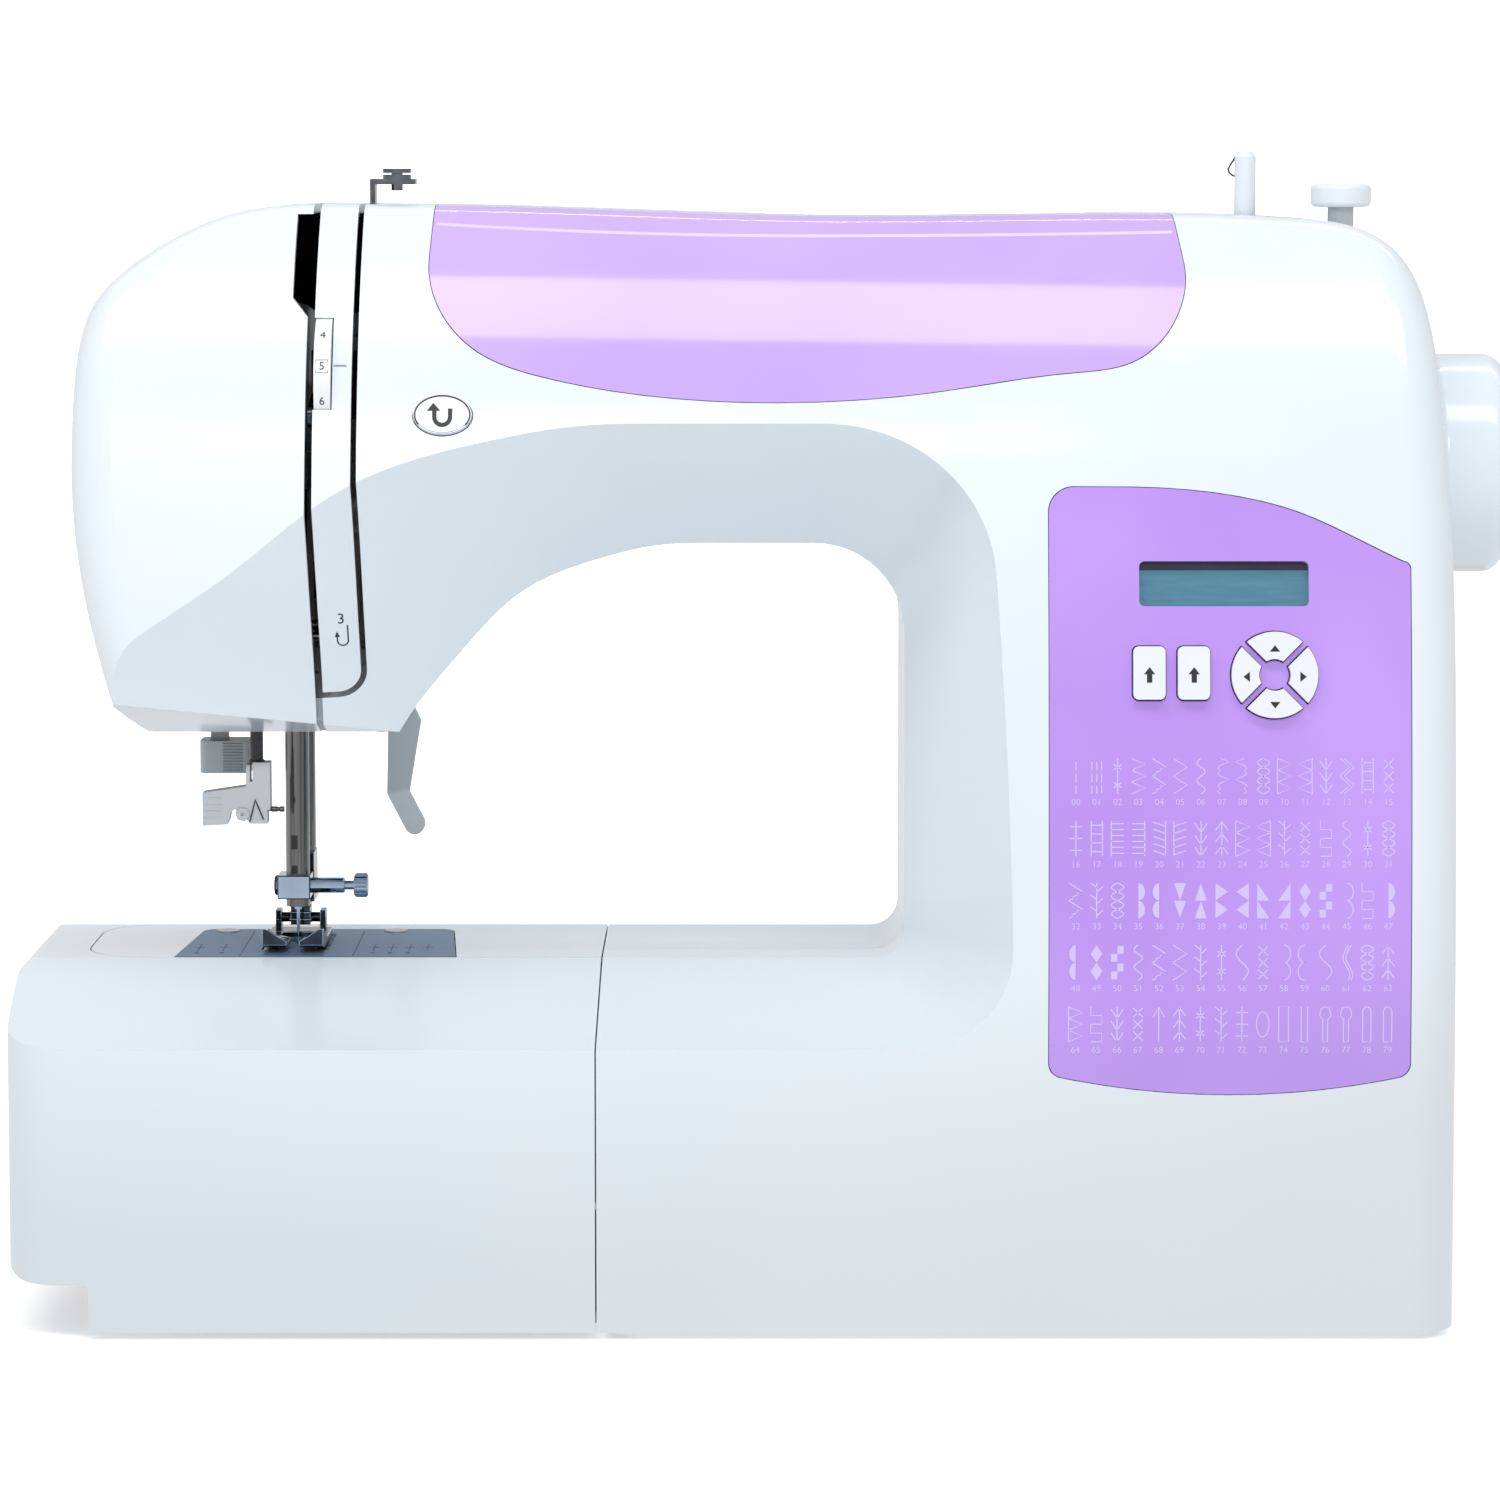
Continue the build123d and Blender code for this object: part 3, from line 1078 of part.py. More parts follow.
# Needle bar group
def make_needle_bar():
    """Rocking frame, needle bar, connecting link, clamp, clamp screw and needle."""
    back = NEEDLE_Y + NEEDLE_BAR_R + 0.85
    low = STUD_Z - 22.0
    spine = box(NEEDLE_X - 4.5, NEEDLE_X + 4.5, back, back + ROCK_T, low, ROCK_Z)
    spine += rod_y(back, back + ROCK_T, NEEDLE_X, ROCK_Z, ROCK_PIN_R + 3.5)
    for z in (low, NEEDLE_BAR_Z1 - 14.0):
        spine += rod_z(z, z + 10.0, NEEDLE_X, NEEDLE_Y, NEEDLE_BAR_R + 3.2)
        spine -= rod_z(z - 1, z + 11.0, NEEDLE_X, NEEDLE_Y, NEEDLE_BAR_R + FIT)
    spine -= rod_y(back - 9, back + ROCK_T, NEEDLE_X, ROCK_Z, ROCK_PIN_R + FIT)
    save(spine, "needle_bar_frame")

    bar = rod_z(NEEDLE_BAR_Z0, NEEDLE_BAR_Z1, NEEDLE_X, NEEDLE_Y, NEEDLE_BAR_R)
    bar += box(NEEDLE_X - 5, NEEDLE_X + 5, NEEDLE_Y - 6, back - 0.4, STUD_Z - 4, STUD_Z + 4)
    link_x = CRANK_X - CRANK_T - 1.2 - LINK_T
    bar += rod_x(NEEDLE_X + 4, link_x + LINK_T, SHAFT_Y, STUD_Z, 3.0)
    bar -= rod_z(NEEDLE_BAR_Z0 - 1, NEEDLE_BAR_Z0 + 12.0, NEEDLE_X, NEEDLE_Y, 1.0)
    save(bar, "needle_bar")

    x1 = link_x + LINK_T
    link = rod_x(link_x, x1, SHAFT_Y, STUD_Z, 5.5) + rod_x(link_x, x1, SHAFT_Y, STUD_Z + LINK_L, 6.0)
    link += box(link_x, x1, SHAFT_Y - 4, SHAFT_Y + 4, STUD_Z, STUD_Z + LINK_L)
    link -= rod_x(link_x, x1, SHAFT_Y, STUD_Z, 3.0)
    save(link, "connecting_link")

    clamp_z0 = NEEDLE_BAR_Z0 + 2.4
    clamp_z1 = clamp_z0 + 6.7
    clamp = box(NEEDLE_X - 6.6, NEEDLE_X + 3.8, NEEDLE_Y - 5.2, NEEDLE_Y + 5.2, clamp_z0, clamp_z1)
    clamp = fillet(clamp.edges().filter_by(Axis.Z), 3.0)
    clamp -= rod_z(clamp_z0, clamp_z1, NEEDLE_X, NEEDLE_Y, NEEDLE_BAR_R)
    screw_z = (clamp_z0 + clamp_z1) / 2
    save(clamp, "needle_clamp")
    screw_x = NEEDLE_X + 3.8
    clamp_screw = rod_x(screw_x, screw_x + 10.1, NEEDLE_Y, screw_z, 1.8)
    clamp_screw += rod_x(screw_x + 10.1, screw_x + 12.3, NEEDLE_Y, screw_z, 1.2)
    clamp_screw += rod_x(screw_x + 12.3, screw_x + 16.2, NEEDLE_Y, screw_z, 3.65)
    save(clamp_screw, "clamp_screw")

    shank_z = NEEDLE_BAR_Z0 - 1.0
    needle = rod_z(shank_z, NEEDLE_BAR_Z0 + 12.0, NEEDLE_X, NEEDLE_Y, 1.0)
    needle += rod_z(NEEDLE_TIP_Z + 4, shank_z, NEEDLE_X, NEEDLE_Y, 0.45)
    needle += Pos(NEEDLE_X, NEEDLE_Y, NEEDLE_TIP_Z + 2) * Cone(0.08, 0.45, 4.0)
    save(needle, "needle")


def make_take_up():
    """Take-up lever: a flat steel arm in the left slot, with an eye at its tip."""
    x0 = FACE_X + SLOT_W / 2 - TAKE_UP_T / 2
    outline = polygon((6, -6), (6, 6), (-20, 4.5), (-TAKE_UP_L, 3), (-TAKE_UP_L, -3), (-20, -5.5))
    outline += Circle(6.5) + Pos(-TAKE_UP_L, 0) * Circle(3.0)
    outline -= Circle(TAKE_UP_PIN_R + FIT) + Pos(-TAKE_UP_L, 0) * Circle(1.3)
    lever = Pos(TAKE_UP_Y, TAKE_UP_Z) * Rot(0, 0, TAKE_UP_REST) * outline
    save(prism_x(lever, x0, x0 + TAKE_UP_T), "take_up_lever")


# Presser bar group
def make_presser():
    """Presser bar with its collar, spring, foot holder, clip-on foot and lifting lever."""
    bar = rod_z(PRESSER_Z0, PRESSER_Z1, NEEDLE_X, PRESSER_Y, PRESSER_R)
    bar += rod_z(COLLAR_Z, COLLAR_Z + COLLAR_H, NEEDLE_X, PRESSER_Y, COLLAR_R)
    save(bar, "presser_bar")

    coil_r = COLLAR_R - SPRING_WIRE_R
    z0 = COLLAR_Z + COLLAR_H + SPRING_WIRE_R
    height = SPRING_Z1 - z0 - SPRING_WIRE_R
    helix = Pos(NEEDLE_X, PRESSER_Y, z0) * Helix(height / SPRING_TURNS, height, coil_r)
    wire = Plane(helix @ 0, z_dir=helix % 0) * Circle(SPRING_WIRE_R)
    save(sweep(wire, path=helix), "presser_spring")

    holder = box(NEEDLE_X - 6, NEEDLE_X + 6, PRESSER_Y - 7, PRESSER_Y + 6, PRESSER_Z0 - 4, PRESSER_Z0 + 14)
    holder = fillet(holder.edges().filter_by(Axis.Z), 2.0)
    holder += box(NEEDLE_X - 4.5, NEEDLE_X + 4.5, PRESSER_Y - 7, PRESSER_Y - 0.5, SOLE_Z + 3.2, PRESSER_Z0 - 4)
    holder -= rod_z(PRESSER_Z0, PRESSER_Z0 + 15, NEEDLE_X, PRESSER_Y, PRESSER_R)
    pin_y = PRESSER_Y - 3.8
    pin_z = SOLE_Z + 5.0
    holder -= rod_x(NEEDLE_X - 5, NEEDLE_X + 5, pin_y, pin_z, FOOT_PIN_R)
    save(holder, "foot_holder")

    half = FOOT_W / 2
    top = SOLE_Z + FOOT_SOLE_T
    plan = Pos(NEEDLE_X, (FOOT_Y0 + FOOT_Y1) / 2) * RectangleRounded(FOOT_W, FOOT_Y1 - FOOT_Y0, 2.5)
    foot = prism_z(plan, SOLE_Z, top)
    toe = polygon((FOOT_Y0 - 1, SOLE_Z - 1), (FOOT_Y0 - 1, SOLE_Z + 1.2), (FOOT_Y0 + 6, SOLE_Z), (FOOT_Y0 + 6, SOLE_Z - 1))
    foot -= prism_x(toe, NEEDLE_X - half - 1, NEEDLE_X + half + 1)
    foot -= box(NEEDLE_X - STITCH_W / 2 - 0.8, NEEDLE_X + STITCH_W / 2 + 0.8, NEEDLE_Y - 2, NEEDLE_Y + 2, SOLE_Z, top)
    foot -= box(NEEDLE_X - 1.0, NEEDLE_X + 1.0, FOOT_Y0 - 1, NEEDLE_Y, SOLE_Z - 1, top + 1)
    for side in (-1, 1):
        foot += box(NEEDLE_X + side * 5, NEEDLE_X + side * 7, pin_y - 2.5, pin_y + 2.5, top, pin_z + 2.4)
    foot += rod_x(NEEDLE_X - 7, NEEDLE_X + 7, pin_y, pin_z, FOOT_PIN_R)
    save(foot, "presser_foot")

    y1 = FRAME_Y - 0.5
    y0 = y1 - LIFTER_T
    end_r = 2.9
    end_x = LIFTER_X + 12.2
    end_z = LIFTER_END_Z + end_r
    bend_z = end_z + 9.2
    neck_z = LIFTER_Z - 14.0
    lever = rod_y(y0, y1, LIFTER_X, LIFTER_Z, 7.0)
    neck = polygon((LIFTER_X - 5, LIFTER_Z - 5), (LIFTER_X + 6, LIFTER_Z + 3.5), (end_x + 1.9, neck_z),
                   (end_x - 1.5, bend_z), (end_x + 2.6, end_z + 1.3), (end_x - 2.6, end_z - 1.3),
                   (end_x - 7.8, bend_z - 0.4), (end_x - 7.4, neck_z - 2))
    lever += prism_y(neck, y0, y1) + rod_y(y0, y1, end_x, end_z, end_r)
    lever -= rod_y(y0, y1, LIFTER_X, LIFTER_Z, LIFTER_PIN_R + FIT)
    save(lever, "presser_lifter")


def make_head_levers():
    """Needle threader and buttonhole lever, which hang under the head."""
    z0 = THREADER_Z0
    x = THREADER_X
    y = THREADER_Y
    threader = box(x - 2.7, x + 2.9, y - 3, y + 3, z0, z0 + 19.0)
    threader += box(x - 15.8, x - 2.6, y - 2, y + 2, z0 + 0.6, z0 + 11.8)
    threader += rod_x(x + 2.8, x + 7.6, y, z0 + 6.2, 0.8)
    threader += rod_z(z0 + 18.0, threader_guide_z() + 12.0 + THREADER_DROP, x, y, THREADER_ROD_R)
    save(threader, "needle_threader")

    z0 = HOLE_LEVER_Z0
    knob = box(HOLE_LEVER_X - 5.3, HOLE_LEVER_X + 8.9, PRESSER_Y - 6, PRESSER_Y + 6, z0, z0 + 9.1)
    knob = fillet(knob.edges().filter_by(Axis.Z), 2.0)
    half_w = HOLE_STEM_W / 2
    half_t = HOLE_STEM_T / 2
    stem_top = hole_guide_z() + 13.0 + HOLE_LEVER_DROP
    stem = box(HOLE_LEVER_X - half_w, HOLE_LEVER_X + half_w, PRESSER_Y - half_t, PRESSER_Y + half_t, z0 + 9, stem_top)
    save(knob + stem, "buttonhole_lever")


def threader_guide_z():
    """Lower end of the threader's guide in the frame."""
    return COLLAR_Z - 4.0


def hole_guide_z():
    """Lower end of the buttonhole lever's guide in the frame."""
    return COLLAR_Z + 8.0


# Frame casting
def frame_plate():
    """The back plate: lower beam, column, arm and head, with windows cast in it."""
    y0 = FRAME_Y
    y1 = FRAME_BACK_Y
    plate = box(BASE_LEFT_X, COLUMN_FRAME_X1, y0, y1, 30.0, 84.0)
    plate += box(COLUMN_FRAME_X0, COLUMN_FRAME_X1, y0, y1, BASE_TOP_Z, FRAME_TOP_Z)
    plate += box(FRAME_LEFT_X, COLUMN_FRAME_X1, y0, y1, ARM_Z + 8.0, FRAME_TOP_Z)
    plate += box(FRAME_LEFT_X, LIFTER_X + 5.0, y0, y1, LIFTER_Z - 8.0, FRAME_TOP_Z)
    plate += box(COLUMN_FRAME_X0, COLUMN_FRAME_X1, y0, y1 + 20.0, BASE_TOP_Z, BASE_TOP_Z + 4.0)
    half = FRAME_WINDOW / 2
    column_x = (COLUMN_FRAME_X0 + COLUMN_FRAME_X1) / 2
    for z in (124.0, 176.0):
        plate -= box(column_x - half, column_x + half, y0 - 1, y1 + 1, z - half, z + half)
    for x in (-60.0, 0.0):
        plate -= box(x - half, x + half, y0 - 1, y1 + 1, ARM_Z + 20, FRAME_TOP_Z - 12)
        plate -= box(x - half, x + half, y0 - 1, y1 + 1, 42.0, 72.0)
    return plate


def frame_bearings():
    """Blocks that reach forward to carry the bushes, the motor flange and the winder pivot."""
    room = BUSH_R + 3.5
    front = SHAFT_Y - room
    blocks = []
    for x in shaft_bush_places():
        blocks.append(box(x, x + BUSH_L, front, FRAME_Y, SHAFT_Z - room, SHAFT_Z + room))
    for x in lower_bush_places():
        blocks.append(box(x, x + BUSH_L, front, FRAME_Y, LOWER_Z - BUSH_R - 1, LOWER_Z + room))
    blocks.append(box(COLUMN_FRAME_X1 - 3, COLUMN_FRAME_X1, MOTOR_Y - 30, FRAME_Y, MOTOR_Z - 30, MOTOR_Z + 30))
    pivot_y = WINDER_Y + WINDER_ARM_L
    blocks.append(box(WINDER_X - 6, WINDER_X + 6, pivot_y - 6, FRAME_Y, FRAME_TOP_Z - 12, FRAME_TOP_Z))
    blocks.append(rod_z(FRAME_TOP_Z - 1, WINDER_ARM_Z + WINDER_ARM_T + 4, WINDER_X, pivot_y, 4.0))
    blocks.append(rod_z(FRAME_TOP_Z - 1, WINDER_ARM_Z - 0.5, WINDER_X, pivot_y, 5.5))
    return blocks


def frame_head():
    """Guides and pins in the head: presser bar, rocking frame, take-up, lifter, threader, buttonhole."""
    spine_back = NEEDLE_Y + NEEDLE_BAR_R + 0.85 + ROCK_T
    blocks = []
    for z0, z1 in ((COLLAR_Z - 28, COLLAR_Z - 14), (SPRING_Z1, SPRING_Z1 + 10)):
        blocks.append(box(NEEDLE_X - 8, NEEDLE_X + 8, spine_back + 1.1, FRAME_Y, z0, z1))
    blocks.append(rod_y(spine_back - ROCK_T - 0.3, FRAME_Y + 1, NEEDLE_X, ROCK_Z, ROCK_PIN_R))
    blocks.append(rod_y(spine_back + 0.4, FRAME_Y + 1, NEEDLE_X, ROCK_Z, ROCK_PIN_R + 2))
    slot_x = FACE_X + SLOT_W / 2
    post_x0 = slot_x + 3.2
    blocks.append(box(post_x0, post_x0 + 6, TAKE_UP_Y - 6, FRAME_Y, TAKE_UP_Z - 4, TAKE_UP_Z + 6))
    blocks.append(rod_x(slot_x - 1.2, post_x0 + 1, TAKE_UP_Y, TAKE_UP_Z, TAKE_UP_PIN_R))
    blocks.append(rod_x(slot_x + 1.0, post_x0 + 1, TAKE_UP_Y, TAKE_UP_Z, TAKE_UP_PIN_R + 1.5))
    blocks.append(rod_y(FRAME_Y - LIFTER_T - 1.5, FRAME_Y + 1, LIFTER_X, LIFTER_Z, LIFTER_PIN_R))
    z0 = threader_guide_z()
    blocks.append(box(THREADER_X - 7.4, THREADER_X + 0.6, THREADER_Y, FRAME_Y, z0, z0 + 8))
    blocks.append(box(THREADER_X - 7.4, THREADER_X + 3.8, THREADER_Y - 5, THREADER_Y + 6, z0, z0 + 8))
    z0 = hole_guide_z()
    blocks.append(box(HOLE_LEVER_X - 7.5, HOLE_LEVER_X + 5.1, PRESSER_Y - 5, FRAME_Y, z0, z0 + 10))
    return blocks


def frame_bores():
    """Everything bored or slotted in the frame."""
    bores = []
    for z, places in ((SHAFT_Z, shaft_bush_places()), (LOWER_Z, lower_bush_places())):
        bores += [rod_x(x, x + BUSH_L, SHAFT_Y, z, BUSH_R) for x in places]
    bores.append(rod_y(FRAME_Y - 1, FRAME_BACK_Y + 1, NEEDLE_X, HOOK_Z, BUSH_R))
    bores.append(rod_x(COLUMN_FRAME_X1 - 4, COLUMN_FRAME_X1 + 1, MOTOR_Y, MOTOR_Z, 9.0))
    bores.append(rod_z(HEAD_BOTTOM_Z, SPRING_Z1 + 11, NEEDLE_X, PRESSER_Y, PRESSER_R + FIT))
    bores.append(rod_z(COLLAR_Z - 10, COLLAR_Z + 10, THREADER_X, THREADER_Y, THREADER_ROD_R + FIT))
    half_w = HOLE_STEM_W / 2 + FIT
    half_t = HOLE_STEM_T / 2 + FIT
    bores.append(box(HOLE_LEVER_X - half_w, HOLE_LEVER_X + half_w, PRESSER_Y - half_t, PRESSER_Y + half_t,
                     COLLAR_Z, COLLAR_Z + 30))
    post = feed_post_x()
    bores.append(box(post - 4 - FIT, post + 4 + FIT, NEEDLE_Y - 4 - FIT, NEEDLE_Y + 4 + FIT, 50, BED_Z))
    for x, y in plate_screw_places():
        bores.append(rod_z(70, BED_Z, x, y, SCREW_R))
    for x, y in base_screw_places():
        bores.append(rod_z(BASE_TOP_Z - 1, BASE_TOP_Z + 5, x, y, SCREW_R))
    return bores


def make_frame():
    """The cast frame, with the plate support and the feed dog's guide under the bed."""
    frame = frame_plate()
    for block in frame_bearings() + frame_head():
        frame += block
    middle = NEEDLE_X + 6.7
    half = NEEDLE_PLATE_REAR_W / 2 - 4.0
    rest_y = NEEDLE_PLATE_Y1 - 7.5
    frame += box(middle - half, middle + half, rest_y, NEEDLE_PLATE_Y1, 80.0, PLATE_Z)
    frame += box(middle - half, middle + half, rest_y, FRAME_BACK_Y, 80.0, BED_Z - ARM_WALL - SEAM)
    post = feed_post_x()
    frame += box(post - 7, post + 7, NEEDLE_Y - 7, FRAME_Y, HOOK_Z + 2, HOOK_Z + 12)
    for bore in frame_bores():
        frame -= bore
    save(frame, "main_frame")


# Top of the arm
def make_top(outside):
    """Top thread guide, bobbin winder, winder stop, spool pin and carrying handle."""
    x0 = GUIDE_X0
    x1 = GUIDE_X0 + GUIDE_W
    y = -9.0
    plate_z = TOP_Z + GUIDE_H - 2.0 * GUIDE_DISC_T
    disc_x = x1 - GUIDE_DISC_R - 1.4
    guide = box(x0, x0 + GUIDE_T, y - 4, y + 4, TOP_Z - 6, plate_z) - outside
    guide += box(x0, x1, y - 4, y + 4, plate_z - GUIDE_T, plate_z)
    guide += rod_z(plate_z - 3.2, plate_z + 2 * GUIDE_DISC_T, disc_x, y, 1.6)
    guide += rod_z(plate_z, plate_z + GUIDE_DISC_T - 0.2, disc_x, y, GUIDE_DISC_R)
    guide += rod_z(plate_z + GUIDE_DISC_T + 0.2, plate_z + 2 * GUIDE_DISC_T, disc_x, y, GUIDE_DISC_R)
    save(guide, "top_thread_guide")

    pivot_y = WINDER_Y + WINDER_ARM_L
    z0 = WINDER_ARM_Z
    z1 = WINDER_ARM_Z + WINDER_ARM_T
    arm = rod_z(z0, z1, WINDER_X, pivot_y, 7.5) + rod_z(z0, z1, WINDER_X, WINDER_Y, 6.5)
    arm += box(WINDER_X - 6, WINDER_X + 6, WINDER_Y, pivot_y, z0, z1)
    arm -= rod_z(z0, z1, WINDER_X, pivot_y, 4.0 + FIT)
    arm -= rod_z(z0, z1, WINDER_X, WINDER_Y, WINDER_R + FIT)
    save(arm, "winder_arm")

    spindle = rod_z(z0 - 6, WINDER_TOP_Z - 1.5, WINDER_X, WINDER_Y, WINDER_R)
    spindle += Pos(WINDER_X, WINDER_Y, WINDER_TOP_Z - 0.75) * Cone(WINDER_R, WINDER_R - 1.0, 1.5)
    spindle += rod_z(z0 - 7.5, z0 - 1.0, WINDER_X, WINDER_Y, 10.0)
    spindle += rod_z(z1 + 0.5, z1 + 3.0, WINDER_X, WINDER_Y, 5.0)
    save(spindle, "winder_spindle")

    stop = rod_z(STOP_Z0, STOP_Z0 + STOP_H, STOP_X, WINDER_Y, STOP_R)
    stop = fillet(stop.edges().filter_by(GeomType.CIRCLE), 1.5)
    stop += rod_z(STOP_Z0 - 14.0, STOP_Z0 + 0.5, STOP_X, WINDER_Y, STOP_STEM_R)
    save(stop, "winder_stop")

    save(rod_x(TROUGH_X0 + 12.0, TROUGH_X1 + WALL, TROUGH_Y, SPOOL_Z, SPOOL_R), "spool_pin")
    save(make_handle(), "carry_handle")


def make_handle():
    """Carrying handle: a flat bail that hangs down the rear cover and swings up."""
    half = HANDLE_X + HANDLE_W / 2
    bail = Pos(0, -HANDLE_L / 2) * RectangleRounded(2 * half, HANDLE_L + 2, 10.0)
    bail -= Pos(0, 5.0 - HANDLE_L / 2) * RectangleRounded(2 * half - 2 * HANDLE_W, HANDLE_L - 11.0, 6.0)
    bail -= Pos(0, 4.0 - HANDLE_L * 0.1) * Rectangle(2 * half - 2 * HANDLE_W, HANDLE_L)
    handle = prism_y(bail, -4.0, 4.0)
    for side in (-1, 1):
        x0 = side * (HANDLE_X - HANDLE_W / 2)
        x1 = side * half
        handle += rod_x(x0, x1, 0, 0, 6.5)
        handle -= rod_x(x0, x1, 0, 0, HANDLE_PIN_R + FIT)
    return Pos(0, HANDLE_Y, HANDLE_Z) * Rot(HANDLE_TILT, 0, 0) * handle


# Power inlet
def make_power():
    """Power inlet module in the right end, with a socket below and the rocker switch above."""
    x1 = RIGHT_X - 0.2
    x0 = x1 - INLET_D
    y0 = INLET_Y0 + SEAM / 2
    y1 = INLET_Y0 + INLET_W - SEAM / 2
    z0 = INLET_Z0 + SEAM / 2
    z1 = INLET_Z0 + INLET_H - SEAM / 2
    middle = (y0 + y1) / 2
    body = box(x0, x1, y0, y1, z0, z1)
    body -= box(x1 - 12, x1 + 1, middle - 12, middle + 12, z0 + 4, z0 + 18)
    for side in (-1, 1):
        body += rod_x(x1 - 13, x1 - 3, middle + side * 5, z0 + 11, 1.2)
    rocker_z = z1 - 4 - ROCKER_H / 2 - 1.3
    half_w = ROCKER_W / 2
    half_h = ROCKER_H / 2
    body -= box(x1 - 13, x1 + 1, middle - half_w - SLIDE, middle + half_w + SLIDE, rocker_z - half_h - 1.3, rocker_z + half_h + 1.3)
    axis_x = x1 - 6.0
    body -= rod_y(middle - half_w - 2, middle + half_w + 2, axis_x, rocker_z, ROCKER_PIN_R + FIT)
    save(body, "power_inlet")
    face = polygon((axis_x - 4, rocker_z - half_h + 1.5), (x1, rocker_z - half_h), (x1 - 1.0, rocker_z),
                   (x1, rocker_z + half_h), (axis_x - 4, rocker_z + half_h - 1.5))
    rocker = prism_y(face, middle - half_w, middle + half_w)
    rocker += rod_y(middle - half_w - 1.7, middle + half_w + 1.7, axis_x, rocker_z, ROCKER_PIN_R)
    save(rocker, "power_rocker")


outside = make_covers()
make_display()
make_keys()
make_dial()
make_base()
make_free_arm()
make_door()
make_table()
make_needle_plate()
make_feed_dog()
make_hook()
make_frame()
make_bushes()
make_main_shaft()
make_lower_drive()
make_needle_bar()
make_take_up()
make_presser()
make_head_levers()
make_top(outside)
make_power()
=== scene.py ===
import math

import bmesh
import bpy
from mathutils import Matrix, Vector
from mathutils.bvhtree import BVHTree


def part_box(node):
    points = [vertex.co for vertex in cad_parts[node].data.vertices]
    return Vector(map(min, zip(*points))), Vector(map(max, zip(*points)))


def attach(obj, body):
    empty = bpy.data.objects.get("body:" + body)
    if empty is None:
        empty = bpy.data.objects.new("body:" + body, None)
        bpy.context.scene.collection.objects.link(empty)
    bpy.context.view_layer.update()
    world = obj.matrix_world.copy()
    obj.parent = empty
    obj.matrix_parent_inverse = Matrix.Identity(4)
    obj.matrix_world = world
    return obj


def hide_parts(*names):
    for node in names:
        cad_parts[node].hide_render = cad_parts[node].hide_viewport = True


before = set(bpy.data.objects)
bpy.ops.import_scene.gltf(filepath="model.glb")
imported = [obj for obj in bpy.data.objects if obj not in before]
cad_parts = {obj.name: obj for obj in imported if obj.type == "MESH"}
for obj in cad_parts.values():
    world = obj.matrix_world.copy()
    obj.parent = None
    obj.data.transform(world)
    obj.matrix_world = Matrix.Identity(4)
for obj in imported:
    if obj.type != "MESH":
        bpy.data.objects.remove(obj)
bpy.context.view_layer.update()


# Base plate: the flat pan that closes the machine from below.
# Moulded in grey plastic with a dull spark-eroded grain, and screwed up
# into the covers. It carries the feet and the frame casting.
MM = 0.001


def new_finish(name, gloss=0.5):
    """A node material; gloss is the shader's specular level, the same all over."""
    finish = bpy.data.materials.new(name)
    finish.use_nodes = True
    shader = finish.node_tree.nodes["Principled BSDF"]
    shader.inputs["Specular IOR Level"].default_value = gloss
    return finish


def shader_of(finish):
    return finish.node_tree.nodes["Principled BSDF"]


def mottle(finish, width, stretch=(1, 1, 1), detail=2.0):
    """Noise fixed to the piece: width is the size of one patch in millimetres."""
    tree = finish.node_tree
    space = tree.nodes.new("ShaderNodeTexCoord")
    pull = tree.nodes.new("ShaderNodeMapping")
    pull.inputs["Scale"].default_value = stretch
    noise = tree.nodes.new("ShaderNodeTexNoise")
    noise.inputs["Scale"].default_value = 1.0 / (width * MM)
    noise.inputs["Detail"].default_value = detail
    tree.links.new(space.outputs["Object"], pull.inputs["Vector"])
    tree.links.new(pull.outputs["Vector"], noise.inputs["Vector"])
    return noise.outputs["Fac"]


def tint(finish, pattern, dark, light, low=0.35, high=0.65):
    """Base colour that drifts from dark to light over a pattern."""
    tree = finish.node_tree
    ramp = tree.nodes.new("ShaderNodeValToRGB")
    ends = ramp.color_ramp.elements
    ends[0].position, ends[0].color = low, (*dark, 1.0)
    ends[1].position, ends[1].color = high, (*light, 1.0)
    tree.links.new(pattern, ramp.inputs["Fac"])
    tree.links.new(ramp.outputs["Color"], shader_of(finish).inputs["Base Color"])


def polish(finish, pattern, smooth, rough):
    """Roughness that wanders between two values over a pattern."""
    tree = finish.node_tree
    spread = tree.nodes.new("ShaderNodeMapRange")
    spread.inputs["From Min"].default_value = 0.3
    spread.inputs["From Max"].default_value = 0.7
    spread.inputs["To Min"].default_value = smooth
    spread.inputs["To Max"].default_value = rough
    tree.links.new(pattern, spread.inputs["Value"])
    tree.links.new(spread.outputs["Result"], shader_of(finish).inputs["Roughness"])


def relief(finish, pattern, depth, strength=0.3):
    """Bump of that depth in millimetres."""
    tree = finish.node_tree
    bump = tree.nodes.new("ShaderNodeBump")
    bump.inputs["Strength"].default_value = strength
    bump.inputs["Distance"].default_value = depth * MM
    tree.links.new(pattern, bump.inputs["Height"])
    tree.links.new(bump.outputs["Normal"], shader_of(finish).inputs["Normal"])


def moulded(name, dark, light, rough, grain=0.5, depth=0.02):
    """Moulded plastic: the colour drifts a little and a fine grain breaks the shine."""
    plastic = new_finish(name)
    tint(plastic, mottle(plastic, 120.0), dark, light)
    polish(plastic, mottle(plastic, 25.0), rough - 0.05, rough + 0.05)
    relief(plastic, mottle(plastic, grain), depth)
    return plastic


def dress(finish, *names):
    """Gives CAD nodes their finish."""
    for name in names:
        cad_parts[name].material_slots[0].material = finish


grey_pan = moulded("grey_pan", (0.33, 0.34, 0.36), (0.38, 0.39, 0.41), 0.55, depth=0.08)
dress(grey_pan, "base_plate")


